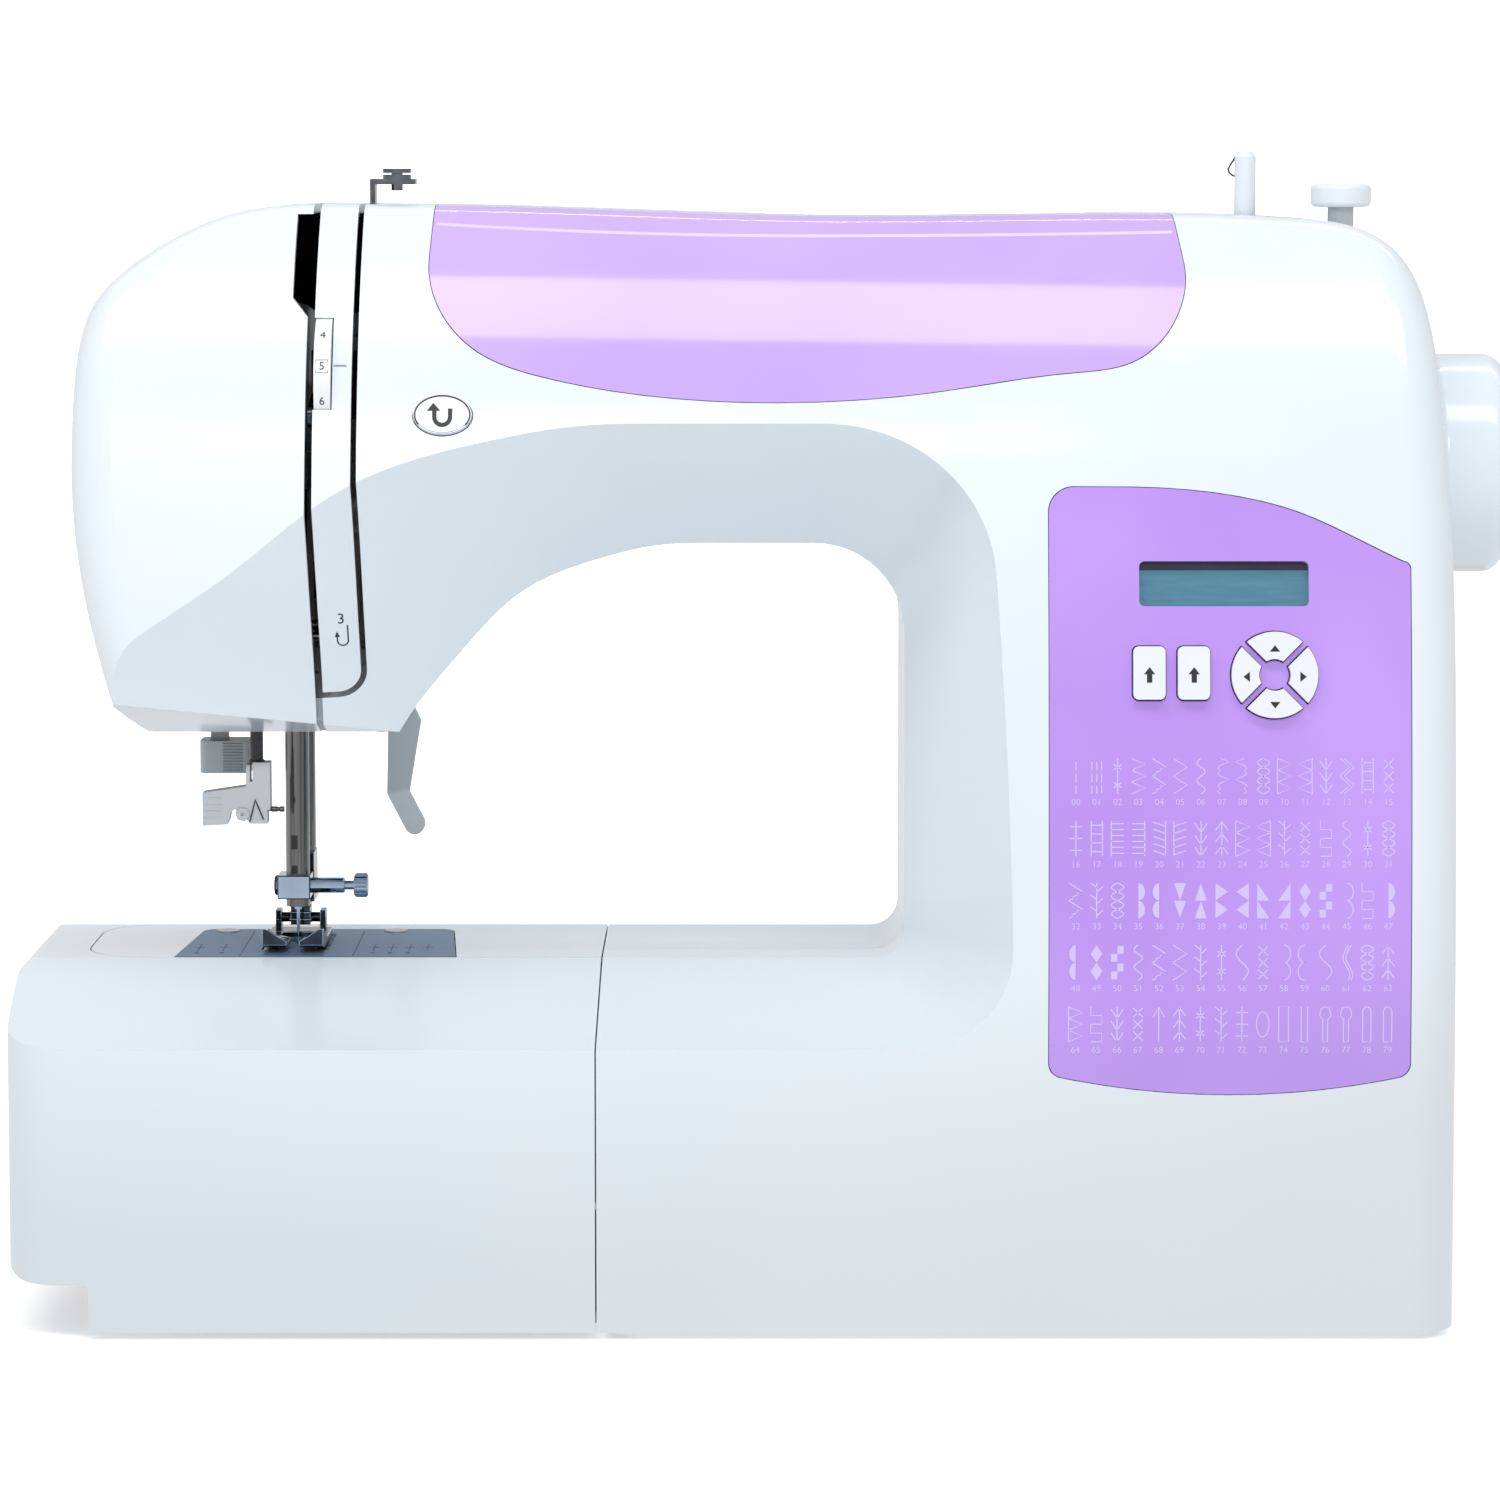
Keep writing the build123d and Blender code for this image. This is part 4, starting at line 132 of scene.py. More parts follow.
# Rubber feet: four moulded black rubber pads under the corners.
# Each one is pushed into its hole in the base plate and holds by a lip.
foot_rubber = moulded("foot_rubber", (0.012, 0.012, 0.014), (0.025, 0.025, 0.027), 0.8, 1.2, 0.1)
dress(foot_rubber, "rubber_feet")


# Frame casting: the die-cast aluminium spine that every shaft and bar runs in.
# Left as cast, with a sandy skin; the small castings in the head match it.
cast_metal = new_finish("cast_metal")
shader_of(cast_metal).inputs["Metallic"].default_value = 0.85
tint(cast_metal, mottle(cast_metal, 20.0, detail=6.0), (0.4, 0.41, 0.42), (0.52, 0.53, 0.54))
polish(cast_metal, mottle(cast_metal, 6.0), 0.42, 0.62)
relief(cast_metal, mottle(cast_metal, 0.9, detail=5.0), 0.12, 0.5)
dress(cast_metal, "main_frame", "crank_disc", "needle_bar_frame", "connecting_link")


# Shafts and bushes: ground steel shafts that turn in sintered bronze bushes.
# The grinding leaves fine rings round each shaft; the bronze is porous and oily.
def metal(name, dark, light, smooth, rough, lines=(1, 1, 1), width=0.6):
    """Machined metal with tool marks; lines stretches the marks across the cut."""
    steel = new_finish(name)
    shader_of(steel).inputs["Metallic"].default_value = 1.0
    tint(steel, mottle(steel, width, lines, 4.0), dark, light, 0.25, 0.75)
    polish(steel, mottle(steel, width * 2, lines), smooth, rough)
    relief(steel, mottle(steel, width, lines, 4.0), 0.01, 0.2)
    return steel


ROUND_X = (12, 1, 1)
ground_steel = metal("ground_steel", (0.42, 0.42, 0.43), (0.58, 0.58, 0.6), 0.2, 0.36, ROUND_X)
oily_bronze = metal("oily_bronze", (0.36, 0.22, 0.09), (0.5, 0.33, 0.15), 0.35, 0.55, width=0.4)
dress(ground_steel, "main_shaft", "lower_shaft", "motor_pulley", "presser_spring")
dress(oily_bronze, "shaft_bushes")


# Motor and belts: a plated steel motor can on the column flange, and two rubber belts.
# One belt drives the main shaft, the toothed one carries its turn to the lower shaft.
plated_can = metal("plated_can", (0.3, 0.31, 0.32), (0.42, 0.43, 0.44), 0.25, 0.45, ROUND_X, 1.5)
belt_rubber = moulded("belt_rubber", (0.01, 0.01, 0.011), (0.03, 0.03, 0.032), 0.7, 1.0, 0.2)
dress(plated_can, "motor")
dress(belt_rubber, "motor_belt", "timing_belt")


# Hook, race, bobbin case and feed dog: hardened steel under the needle plate.
# The hook and case are polished where the thread slides, and the feed teeth are ground.
hook_steel = metal("hook_steel", (0.5, 0.5, 0.52), (0.68, 0.68, 0.7), 0.14, 0.3, width=0.8)
dress(hook_steel, "hook_race", "shuttle_hook", "hook_driver", "bobbin_case", "feed_dog")


# Needle bar, clamp and needle: drawn steel bars, with reflections painted on as lengthwise stripes.
# The clamp is a chromed block with painted shade on its rounded edges, and a turned thumb screw
# with a ribbed head holds the needle in it. The take-up lever is plated dark.
LONG_Z = (1, 1, 0.01)
# The bars' colour runs from near black to mid grey in lengthwise stripes, as painted reflections.
bar_painted_reflections = metal("bar_painted_reflections", (0.06, 0.058, 0.056), (0.34, 0.33, 0.325), 0.12, 0.22, LONG_Z, 1.1)
chrome = metal("chrome", (0.36, 0.45, 0.56), (0.43, 0.53, 0.65), 0.06, 0.12, width=6.0)
# Dark chrome: the take-up lever's dark plating, and painted shade or painted dark reflection where it is laid
# on bright steel.
dark_plate_and_shade = metal("dark_plate_and_shade", (0.03, 0.037, 0.05), (0.06, 0.073, 0.095), 0.08, 0.16, width=4.0)
dress(bar_painted_reflections, "needle_bar", "presser_bar")
dress(chrome, "needle")
dress(dark_plate_and_shade, "take_up_lever")


def make_piece(name, mesh, finish, body):
    """Hangs a new mesh on a body with its finish and the slot it belongs to."""
    piece = bpy.data.objects.new(name, mesh)
    bpy.context.scene.collection.objects.link(piece)
    mesh.materials.append(finish)
    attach(piece, body)
    return piece


def from_bmesh(name, build):
    mesh = bpy.data.meshes.new(name)
    bmesh.ops.recalc_face_normals(build, faces=build.faces)
    build.to_mesh(mesh)
    build.free()
    return mesh


def add_ring(build, centre, across, up, radius, count=20):
    """A loop of points round a centre."""
    loop = []
    for i in range(count):
        turn = math.tau * i / count
        loop.append(build.verts.new(centre + across * radius * math.cos(turn) + up * radius * math.sin(turn)))
    return loop


def skin_loops(build, loops, capped=True):
    """Walls between one loop and the next, and lids on the two ends."""
    for low, high in zip(loops, loops[1:]):
        for i in range(len(low)):
            j = (i + 1) % len(low)
            build.faces.new((low[i], low[j], high[j], high[i]))
    if capped:
        build.faces.new(loops[0])
        build.faces.new(loops[-1])


def add_bar(build, start, end, radius, count=8):
    """A round bar between two points, in metres."""
    run = (end - start).normalized()
    across = run.orthogonal().normalized()
    up = run.cross(across)
    skin_loops(build, [add_ring(build, p, across, up, radius, count) for p in (start, end)])


X_AXIS = Vector((1, 0, 0))
Y_AXIS = Vector((0, 1, 0))
Z_AXIS = Vector((0, 0, 1))


def add_turned(build, foot, axis, steps, count=24):
    """A turned form on an axis through its foot: radius and distance at each step, in millimetres."""
    across = axis.orthogonal().normalized()
    up = axis.cross(across)
    loops = [add_ring(build, (foot + axis * far) * MM, across, up, r * MM, count) for r, far in steps]
    skin_loops(build, loops)


def add_plate(build, outline, front, back):
    """A flat plate cut to an outline seen from the front, in millimetres."""
    skin_loops(build, [[build.verts.new(Vector((x, y, z)) * MM) for x, z in outline] for y in (front, back)])


def add_block(build, low, high):
    """A square block between two corners, in millimetres."""
    outline = [(low[0], low[2]), (high[0], low[2]), (high[0], high[2]), (low[0], high[2])]
    add_plate(build, outline, low[1], high[1])


def break_edges(piece, width, finish=None):
    """Rounds the sharp edges of a piece; the rounded edges may take a finish of their own, to paint a
    highlight or shade along them.
    """
    edge = piece.modifiers.new("broken edges", "BEVEL")
    edge.width = width * MM
    edge.segments = 2
    edge.limit_method = "ANGLE"
    if finish:
        piece.data.materials.append(finish)
        edge.material = 1


CLAMP_CAP = 1.2
CAP_STEPS = [(2.4, 0.0), (2.9, 0.4), (2.9, CLAMP_CAP)]
CLAMP_EDGE = 0.5
clamp_low, clamp_high = (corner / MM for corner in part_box("needle_clamp"))
clamp_mid = (clamp_low + clamp_high) / 2
block = bmesh.new()
add_block(block, (clamp_low.x + CLAMP_CAP, clamp_low.y, clamp_low.z), clamp_high)
add_turned(block, Vector((clamp_low.x, clamp_mid.y, clamp_mid.z)), X_AXIS, CAP_STEPS)
block = make_piece("clamp_block", from_bmesh("clamp_block", block), chrome, "needle_group")
# The clamp's rounded edges take the dark chrome as painted shade.
break_edges(block, CLAMP_EDGE, dark_plate_and_shade)
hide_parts("needle_clamp")

screw_low, screw_high = (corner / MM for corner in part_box("clamp_screw"))
screw_axis = Vector((screw_low.x, (screw_low.y + screw_high.y) / 2, (screw_low.z + screw_high.z) / 2))
SCREW_STEPS = [(2.2, 0.0), (2.2, 9.0), (1.9, 9.4), (1.3, 9.5), (1.3, 12.0), (3.0, 12.1), (3.2, 12.4),
               (3.2, 15.7), (2.9, 16.0)]
KNURL_R = 3.2
KNURLS = 18
KNURL_START = 12.5
KNURL_L = 3.1
KNURL_RIB_R = 0.25
screw = bmesh.new()
add_turned(screw, screw_axis, X_AXIS, SCREW_STEPS)
for i in range(KNURLS):
    turn = math.tau * i / KNURLS
    tip = screw_axis + Vector((KNURL_START, KNURL_R * math.cos(turn), KNURL_R * math.sin(turn)))
    add_bar(screw, tip * MM, (tip + X_AXIS * KNURL_L) * MM, KNURL_RIB_R * MM)
screw = make_piece("thumb_screw", from_bmesh("thumb_screw", screw), chrome, "needle_group")
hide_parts("clamp_screw")


# Presser foot group: a plated shank on the bar with a clip-on sole of polished steel.
# The sole is stamped with two upturned toes beside the needle's slot, and it floats
# on a cross pin held in its two ears.
NEEDLE_X = -131.5
SOLE_T = 1.8
SLOT_HALF = 1.7
SOLE_HALF = 8.6
OPEN_HALF = 4.6
TOE_STEPS = [(-9.0, 1.2, 2.9), (-6.5, 0.4, 3.4), (-3.0, 0.0, 2.6), (1.0, 0.0, 1.0), (6.0, 0.0, 0.2)]
FIN_W = 1.4
WEB_W = 2.6
WEB_RISE = 0.3
LIP_SHARE = 0.7
OPEN_BACK = 13.5
EAR = ((5.4, 17.7), (7.2, 22.7))
PIN_R = 1.4
PIN_Z = 5.0
SOLE_EDGE = 0.25
foot_low, foot_high = (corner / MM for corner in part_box("presser_foot"))
sole_z = foot_low.z
sole_top = sole_z + SOLE_T
sole = bmesh.new()
for side in (-1, 1):
    toe = []
    for y, lift, fin in TOE_STEPS:
        low = sole_z + lift
        top = low + SOLE_T
        edge = [(SLOT_HALF, low), (SOLE_HALF, low), (SOLE_HALF, top + fin), (SOLE_HALF - FIN_W, top + fin),
                (SLOT_HALF + WEB_W, top + fin * WEB_RISE), (SLOT_HALF, low + SOLE_T * LIP_SHARE)]
        toe.append([sole.verts.new(Vector((NEEDLE_X + side * x, y, z)) * MM) for x, z in edge])
    skin_loops(sole, toe)
    inner, outer = sorted((NEEDLE_X + side * OPEN_HALF, NEEDLE_X + side * SOLE_HALF))
    add_block(sole, (inner, TOE_STEPS[-1][0], sole_z), (outer, OPEN_BACK, sole_top))
    inner, outer = sorted(NEEDLE_X + side * x for x in (EAR[0][0], EAR[1][0]))
    add_block(sole, (inner, EAR[0][1], sole_top), (outer, EAR[1][1], foot_high.z))
add_block(sole, (NEEDLE_X - SOLE_HALF, OPEN_BACK, sole_z), (NEEDLE_X + SOLE_HALF, EAR[1][1], sole_top))
pin_foot = Vector((NEEDLE_X - EAR[1][0], (EAR[0][1] + EAR[1][1]) / 2, sole_z + PIN_Z))
add_turned(sole, pin_foot, X_AXIS, [(PIN_R, 0.0), (PIN_R, 2 * EAR[1][0])])
# The sole is coloured dark chrome as a painted reflection of the dark plate under it; its rounded edges take
# bright chrome as painted highlights.
sole = make_piece("foot_sole", from_bmesh("foot_sole", sole), dark_plate_and_shade, "presser")
break_edges(sole, SOLE_EDGE, chrome)
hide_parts("presser_foot")

holder_low, holder_high = (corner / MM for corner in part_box("foot_holder"))
SHANK_HALF = 4.0
SHANK_Z = 104.0
SHANK_TOP = 118.0
STEM_HALF = 2.8
STEM_D = 6.5
BACK_GAP = 1.0
STEM_RIBS = (1.5, 3.5, 5.5)
STEM_RIB_HALF = 3.1
STEM_RIB_R = 0.4
SHANK_EDGE = 0.3
shank_back = holder_high.y - BACK_GAP
stem_back = holder_low.y + STEM_D
shank = bmesh.new()
shank_low = (NEEDLE_X - SHANK_HALF, holder_low.y, SHANK_Z)
stem_low = (NEEDLE_X - STEM_HALF, holder_low.y, holder_low.z)
add_block(shank, shank_low, (NEEDLE_X + SHANK_HALF, shank_back, SHANK_TOP))
add_block(shank, stem_low, (NEEDLE_X + STEM_HALF, stem_back, SHANK_Z))
for rise in STEM_RIBS:
    z = holder_low.z + rise
    ends = [Vector((NEEDLE_X + x, holder_low.y, z)) * MM for x in (-STEM_RIB_HALF, STEM_RIB_HALF)]
    add_bar(shank, *ends, STEM_RIB_R * MM)
# The shank is coloured dark chrome, and its rounded edges take bright chrome as painted highlights.
shank = make_piece("foot_shank", from_bmesh("foot_shank", shank), dark_plate_and_shade, "presser")
break_edges(shank, SHANK_EDGE, chrome)
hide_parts("foot_holder")


# Presser lifter and buttonhole lever: grey plastic levers that hang under the head.
# The buttonhole lever has fine finger ribs moulded across the right half of its knob.
lever_grey = moulded("lever_grey", (0.47, 0.52, 0.54), (0.53, 0.58, 0.6), 0.38)
rib_grey = moulded("rib_grey", (0.34, 0.38, 0.42), (0.39, 0.43, 0.47), 0.45)
dress(lever_grey, "presser_lifter", "buttonhole_lever")
KNOB_H = 9.1
RIBS = 10
RIB_R = 0.32
RIB_STEP = 0.85
RIB_INNER = 0.4
RIB_OUTER = 2.0
knob_low, knob_high = (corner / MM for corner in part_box("buttonhole_lever"))
knob_mid = (knob_low.x + knob_high.x) / 2
ribs = bmesh.new()
for i in range(RIBS):
    z = knob_low.z + (KNOB_H - (RIBS - 1) * RIB_STEP) / 2 + i * RIB_STEP
    ends = [Vector((x, knob_low.y, z)) * MM for x in (knob_mid - RIB_INNER, knob_high.x - RIB_OUTER)]
    add_bar(ribs, *ends, RIB_R * MM)
make_piece("buttonhole_ribs", from_bmesh("buttonhole_ribs", ribs), rib_grey, "buttonhole")


# Needle threader: a pale slide on a dark rod, with a wing for the finger.
# Wing, body and hook boss are one moulding; a bent wire guides the thread across its face.
slide_white = moulded("slide_white", (0.52, 0.55, 0.57), (0.6, 0.62, 0.64), 0.4)
dark_rod = moulded("dark_rod", (0.012, 0.014, 0.02), (0.025, 0.027, 0.034), 0.4)
spring_wire = metal("spring_wire", (0.06, 0.06, 0.07), (0.12, 0.12, 0.13), 0.25, 0.4)
SLIDE_FRONT = -6.0
SLIDE_BACK = -0.2
SLIDE_SHAPE = [(-156.6, 128.6), (-156.6, 137.9), (-144.5, 139.7), (-144.3, 145.7), (-143.3, 145.7),
               (-143.3, 141.0), (-142.6, 141.0), (-142.6, 146.4), (-137.7, 146.4), (-137.7, 133.2),
               (-138.5, 133.2), (-138.5, 129.2), (-143.3, 129.2), (-144.3, 130.4), (-147.6, 133.3),
               (-148.8, 132.2), (-149.2, 130.2), (-149.6, 129.0)]
SLIDE_EDGE = 0.2
WING_RIBS = (131.0, 132.8, 134.6, 136.4)
WING_X = (-156.2, -151.0)
WING_RIB_R = 0.2
BOSS = Vector((-145.4, 0.0, 131.9))
BOSS_STEPS = [(2.1, -1.0), (2.1, -6.3), (1.8, -6.6), (0.55, -6.6), (0.45, -5.2)]
slide = bmesh.new()
add_plate(slide, SLIDE_SHAPE, SLIDE_FRONT, SLIDE_BACK)
for z in WING_RIBS:
    ends = [Vector((x, SLIDE_FRONT, z)) * MM for x in WING_X]
    add_bar(slide, *ends, WING_RIB_R * MM)
add_turned(slide, BOSS, Y_AXIS, BOSS_STEPS, 6)
slide = from_bmesh("threader_slide", slide)
slide = make_piece("threader_slide", slide, slide_white, "threader")
break_edges(slide, SLIDE_EDGE)
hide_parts("needle_threader")

ROD = Vector((-141.6, -3.0, 0.0))
ROD_STEPS = [(2.2, 145.6), (2.2, 146.8), (1.8, 147.0), (1.8, 221.6), (1.5, 222.0)]
rod = bmesh.new()
add_turned(rod, ROD, Z_AXIS, ROD_STEPS)
make_piece("threader_rod", from_bmesh("threader_rod", rod), dark_rod, "threader")


def add_wire(build, points, radius, count=8):
    """A bent round wire that lies in one upright plane across the machine."""
    spots = [Vector(p) * MM for p in points]
    loops = []
    for i, spot in enumerate(spots):
        run = (spots[min(i + 1, len(spots) - 1)] - spots[max(i - 1, 0)]).normalized()
        loops.append(add_ring(build, spot, Y_AXIS, run.cross(Y_AXIS).normalized(), radius * MM, count))
    skin_loops(build, loops)


WIRE_Y = SLIDE_FRONT - 0.1
WIRE_R = 0.22
WIRE_BENDS = [(-143.4, 129.8), (-142.2, 134.4), (-141.8, 136.0), (-141.3, 134.6), (-139.6, 130.4)]
PIN_FOOT = Vector((0.0, ROD.y, 133.0))
PIN_STEPS = [(0.5, -138.2), (0.8, -137.4), (0.8, -136.0), (0.6, -135.8), (0.6, -135.4), (0.8, -135.2),
             (0.8, -134.0)]
guide = bmesh.new()
add_wire(guide, [(x, WIRE_Y, z) for x, z in WIRE_BENDS], WIRE_R)
add_turned(guide, PIN_FOOT, X_AXIS, PIN_STEPS, 14)
make_piece("threader_wire", from_bmesh("threader_wire", guide), spring_wire, "threader")


# Circuit board: a glass-fibre board with green solder mask behind the control panel.
# It carries the display and the key switches and is screwed to the front cover.
solder_mask = moulded("solder_mask", (0.01, 0.09, 0.04), (0.02, 0.14, 0.06), 0.35, 2.0, 0.1)
dress(solder_mask, "circuit_board")


# Covers: the white housing in four mouldings, with a polished cool-white face.
# Front, rear and face covers are screwed together; the thread-guide strip sits between
# two slots. Inside, where no daylight falls, the plastic is painted dark as shade.
shell_white = new_finish("shell_white")
tint(shell_white, mottle(shell_white, 160.0), (0.76, 0.82, 0.87), (0.79, 0.845, 0.89))
polish(shell_white, mottle(shell_white, 40.0), 0.17, 0.23)
relief(shell_white, mottle(shell_white, 0.7), 0.01, 0.1)
shader_of(shell_white).inputs["Coat Weight"].default_value = 0.25
shader_of(shell_white).inputs["Coat Roughness"].default_value = 0.06
COVERS = ("front_cover", "rear_cover", "face_cover", "thread_guide_cover")
dress(shell_white, *COVERS, "free_arm_cover")

# Painted shade: the near-black finish for cover faces that see almost no way out.
inner_painted_shade = moulded("inner_painted_shade", (0.012, 0.012, 0.016), (0.02, 0.02, 0.025), 0.7)
OUTER_WALLS = (*COVERS, "free_arm_cover", "base_plate", "arm_panel", "control_panel", "display_window",
               "shuttle_door", "needle_plate", "power_inlet")
SEAM = 1.0
OFF_FACE = 0.1
LOOK_UP = (0.25, 0.6, 0.9)
LOOK_ROUND = 6
WAYS_OUT = 3


def closed_in():
    """One tree of every fixed outer wall, to ask whether a face can see out with the table drawn off."""
    corners, walls = [], []
    for name in OUTER_WALLS:
        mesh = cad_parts[name].data
        first = len(corners)
        corners += [v.co.copy() for v in mesh.vertices]
        walls += [[first + k for k in p.vertices] for p in mesh.polygons]
    return BVHTree.FromPolygons(corners, walls)


def paint_inside(names, dark, tree):
    """Faces from which nearly every way out is blocked are painted dark as shade, but not tight seams."""
    ways = []
    for lift in LOOK_UP:
        for i in range(LOOK_ROUND):
            turn = math.tau * (i + lift) / LOOK_ROUND
            flat = math.sqrt(1 - lift * lift)
            ways.append((flat * math.cos(turn), flat * math.sin(turn), lift))
    for name in names:
        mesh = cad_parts[name].data
        mesh.materials.append(dark)
        for face in mesh.polygons:
            start = face.center + face.normal * OFF_FACE * MM
            hit, _, _, far = tree.ray_cast(start, face.normal)
            if hit is None or far < SEAM * MM:
                continue
            across = face.normal.orthogonal().normalized()
            up = face.normal.cross(across)
            free = 0
            for a, b, c in ways:
                if tree.ray_cast(start, across * a + up * b + face.normal * c)[0] is None:
                    free += 1
            if free < WAYS_OUT:
                face.material_index = 1


paint_inside((*COVERS, "free_arm_cover"), inner_painted_shade, closed_in())


# Panels: two lilac plastic inlays, one along the arm and one for the controls.
# Each is a thin glossy moulding glued flush into its seat in the front cover; the one
# on the arm is coloured paler, a painted sheen for the light on its upturned face.
def glossy(name, dark, light):
    """Lilac plastic with a high gloss."""
    plastic = new_finish(name)
    tint(plastic, mottle(plastic, 90.0), dark, light)
    polish(plastic, mottle(plastic, 30.0), 0.07, 0.11)
    relief(plastic, mottle(plastic, 0.6), 0.01, 0.1)
    shader_of(plastic).inputs["Coat Weight"].default_value = 0.3
    shader_of(plastic).inputs["Coat Roughness"].default_value = 0.05
    return plastic


dress(glossy("lilac", (0.48, 0.27, 0.82), (0.54, 0.32, 0.88)), "control_panel")
# The paler lilac on the arm panel is painted sheen.
dress(glossy("sheen_pale_lilac", (0.55, 0.37, 0.84), (0.6, 0.42, 0.88)), "arm_panel")


# Display: a liquid crystal glass set back behind its opening in the control panel.
# The glass is a smooth grey teal, very faintly banded from side to side while it is blank.
teal_glass = new_finish("teal_glass", 0.6)
tint(teal_glass, mottle(teal_glass, 8.0, (1, 1, 8)), (0.072, 0.215, 0.3), (0.085, 0.245, 0.33))
polish(teal_glass, mottle(teal_glass, 12.0), 0.08, 0.14)
dress(teal_glass, "display_window")


# Printed marks: ink laid on the plastic by pad printing, a few hundredths thick.
# A mark is drawn flat in millimetres and laid on the face of the piece that carries it.
INK_T = 0.05
BEFORE = 200.0
BEYOND = 400.0
FROM_FRONT = Vector((0, 1, 0))
FROM_ABOVE = Vector((0, 0, -1))
FROM_RIGHT = Vector((-1, 0, 0))
FROM_BEHIND = Vector((0, -1, 0))


def lay_on(carrier, way=FROM_FRONT):
    """Returns a function that puts a drawn point on the carrier's face."""
    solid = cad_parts[carrier]

    def place(across, up):
        start = Vector((across, -BEFORE, up))
        if way is FROM_ABOVE:
            start = Vector((across, up, BEYOND))
        if way is FROM_RIGHT:
            start = Vector((BEYOND, across, up))
        if way is FROM_BEHIND:
            start = Vector((across, BEFORE, up))
        hit, spot, _, _ = solid.ray_cast(start * MM, way)
        if not hit:
            raise ValueError(f"a mark runs off {carrier} at {across:.2f}, {up:.2f}")
        return spot - way * INK_T * MM

    return place


def patch(*points):
    """A filled outline."""
    return list(points), [tuple(range(len(points)))]


def pen(points, width, closed=False):
    """A pen line of that width through the points."""
    edges = [[], []]
    count = len(points)
    for i, (x, z) in enumerate(points):
        ahead = points[(i + 1) % count] if closed or i + 1 < count else points[i]
        back = points[i - 1] if closed or i else points[i]
        run = Vector((ahead[0] - back[0], ahead[1] - back[1])).normalized()
        edges[0].append((x - run.y * width / 2, z + run.x * width / 2))
        edges[1].append((x + run.y * width / 2, z - run.x * width / 2))
    last = count if closed else count - 1
    faces = [(i, count + i, count + (i + 1) % count, (i + 1) % count) for i in range(last)]
    return edges[0] + edges[1], faces


def arc(x, z, radius, start, end, steps=12):
    """Points on part of a circle, angles in degrees."""
    turns = [math.radians(start + (end - start) * i / steps) for i in range(steps + 1)]
    return [(x + radius * math.cos(t), z + radius * math.sin(t)) for t in turns]


TYPE_SCALE = 1.4


def figures(text, x, z, height):
    """Numerals of that height, centred on a point."""
    letters = bpy.data.curves.new("figures", "FONT")
    letters.body = text
    letters.size = height * TYPE_SCALE
    letters.resolution_u = 3
    letters.align_x = "CENTER"
    letters.align_y = "CENTER"
    holder = bpy.data.objects.new("figures", letters)
    flat = bpy.data.meshes.new_from_object(holder)
    points = [(x + v.co.x, z + v.co.y) for v in flat.vertices]
    faces = [tuple(p.vertices) for p in flat.polygons]
    bpy.data.objects.remove(holder)
    bpy.data.curves.remove(letters)
    bpy.data.meshes.remove(flat)
    return points, faces


def printed(name, marks, place, ink, body):
    """Lays marks on their carrier as a thin film of ink."""
    film = bmesh.new()
    for points, faces in marks:
        corners = [film.verts.new(place(*p)) for p in points]
        for face in faces:
            film.faces.new([corners[k] for k in face])
    mesh = bpy.data.meshes.new(name)
    film.to_mesh(mesh)
    film.free()
    piece = make_piece(name, mesh, ink, body)
    depth = piece.modifiers.new("ink film", "SOLIDIFY")
    depth.thickness = 2 * INK_T * MM
    depth.offset = -1.0
    return piece


black_ink = moulded("black_ink", (0.008, 0.009, 0.01), (0.016, 0.017, 0.019), 0.45, 0.3)
grey_ink = moulded("grey_ink", (0.25, 0.27, 0.3), (0.32, 0.34, 0.37), 0.5, 0.3)


# Display shadow: the dark band along the top of the glass, a painted shadow of the opening's top edge.
# It is laid on the face of the glass and runs a little past the opening's ends.
def middle(node):
    """Middle of a node's face in millimetres, across and up."""
    low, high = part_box(node)
    return (low.x + high.x) / 2 / MM, (low.z + high.z) / 2 / MM


SHADOW_H = 3.0
SHADOW_HALF = 23.3
SHADOW_Z = 206.4
glass_x = middle("display_window")[0]
# The band's navy ink is a painted shadow.
top_shadow_ink = moulded("top_shadow_ink", (0.01, 0.011, 0.04), (0.016, 0.018, 0.06), 0.25, 0.3)
top_shadow = pen([(glass_x - SHADOW_HALF, SHADOW_Z), (glass_x + SHADOW_HALF, SHADOW_Z)], SHADOW_H)
printed("display_top_shadow", [top_shadow], lay_on("display_window"), top_shadow_ink, "machine")


# Needle bar slots: two sight holes in the front of the bar, above the clamp, painted on as dark shade.
# They open on the needle's seat and show whether its shank is pushed right up.
BAR_SLOT_X = -132.2
BAR_SLOT_W = 1.8
BAR_SLOTS = ((122.3, 4.0), (114.5, 2.4))
SLOT_PARTS = 6
slot_shades = []
for z, tall in BAR_SLOTS:
    run = [(BAR_SLOT_X + BAR_SLOT_W * (i / SLOT_PARTS - 0.5), z) for i in range(SLOT_PARTS + 1)]
    slot_shades.append(pen(run, tall))
# The holes are not cut; their dark ink is painted shade.
printed("needle_bar_slot_shade", slot_shades, lay_on("needle_bar"), black_ink, "needle_group")


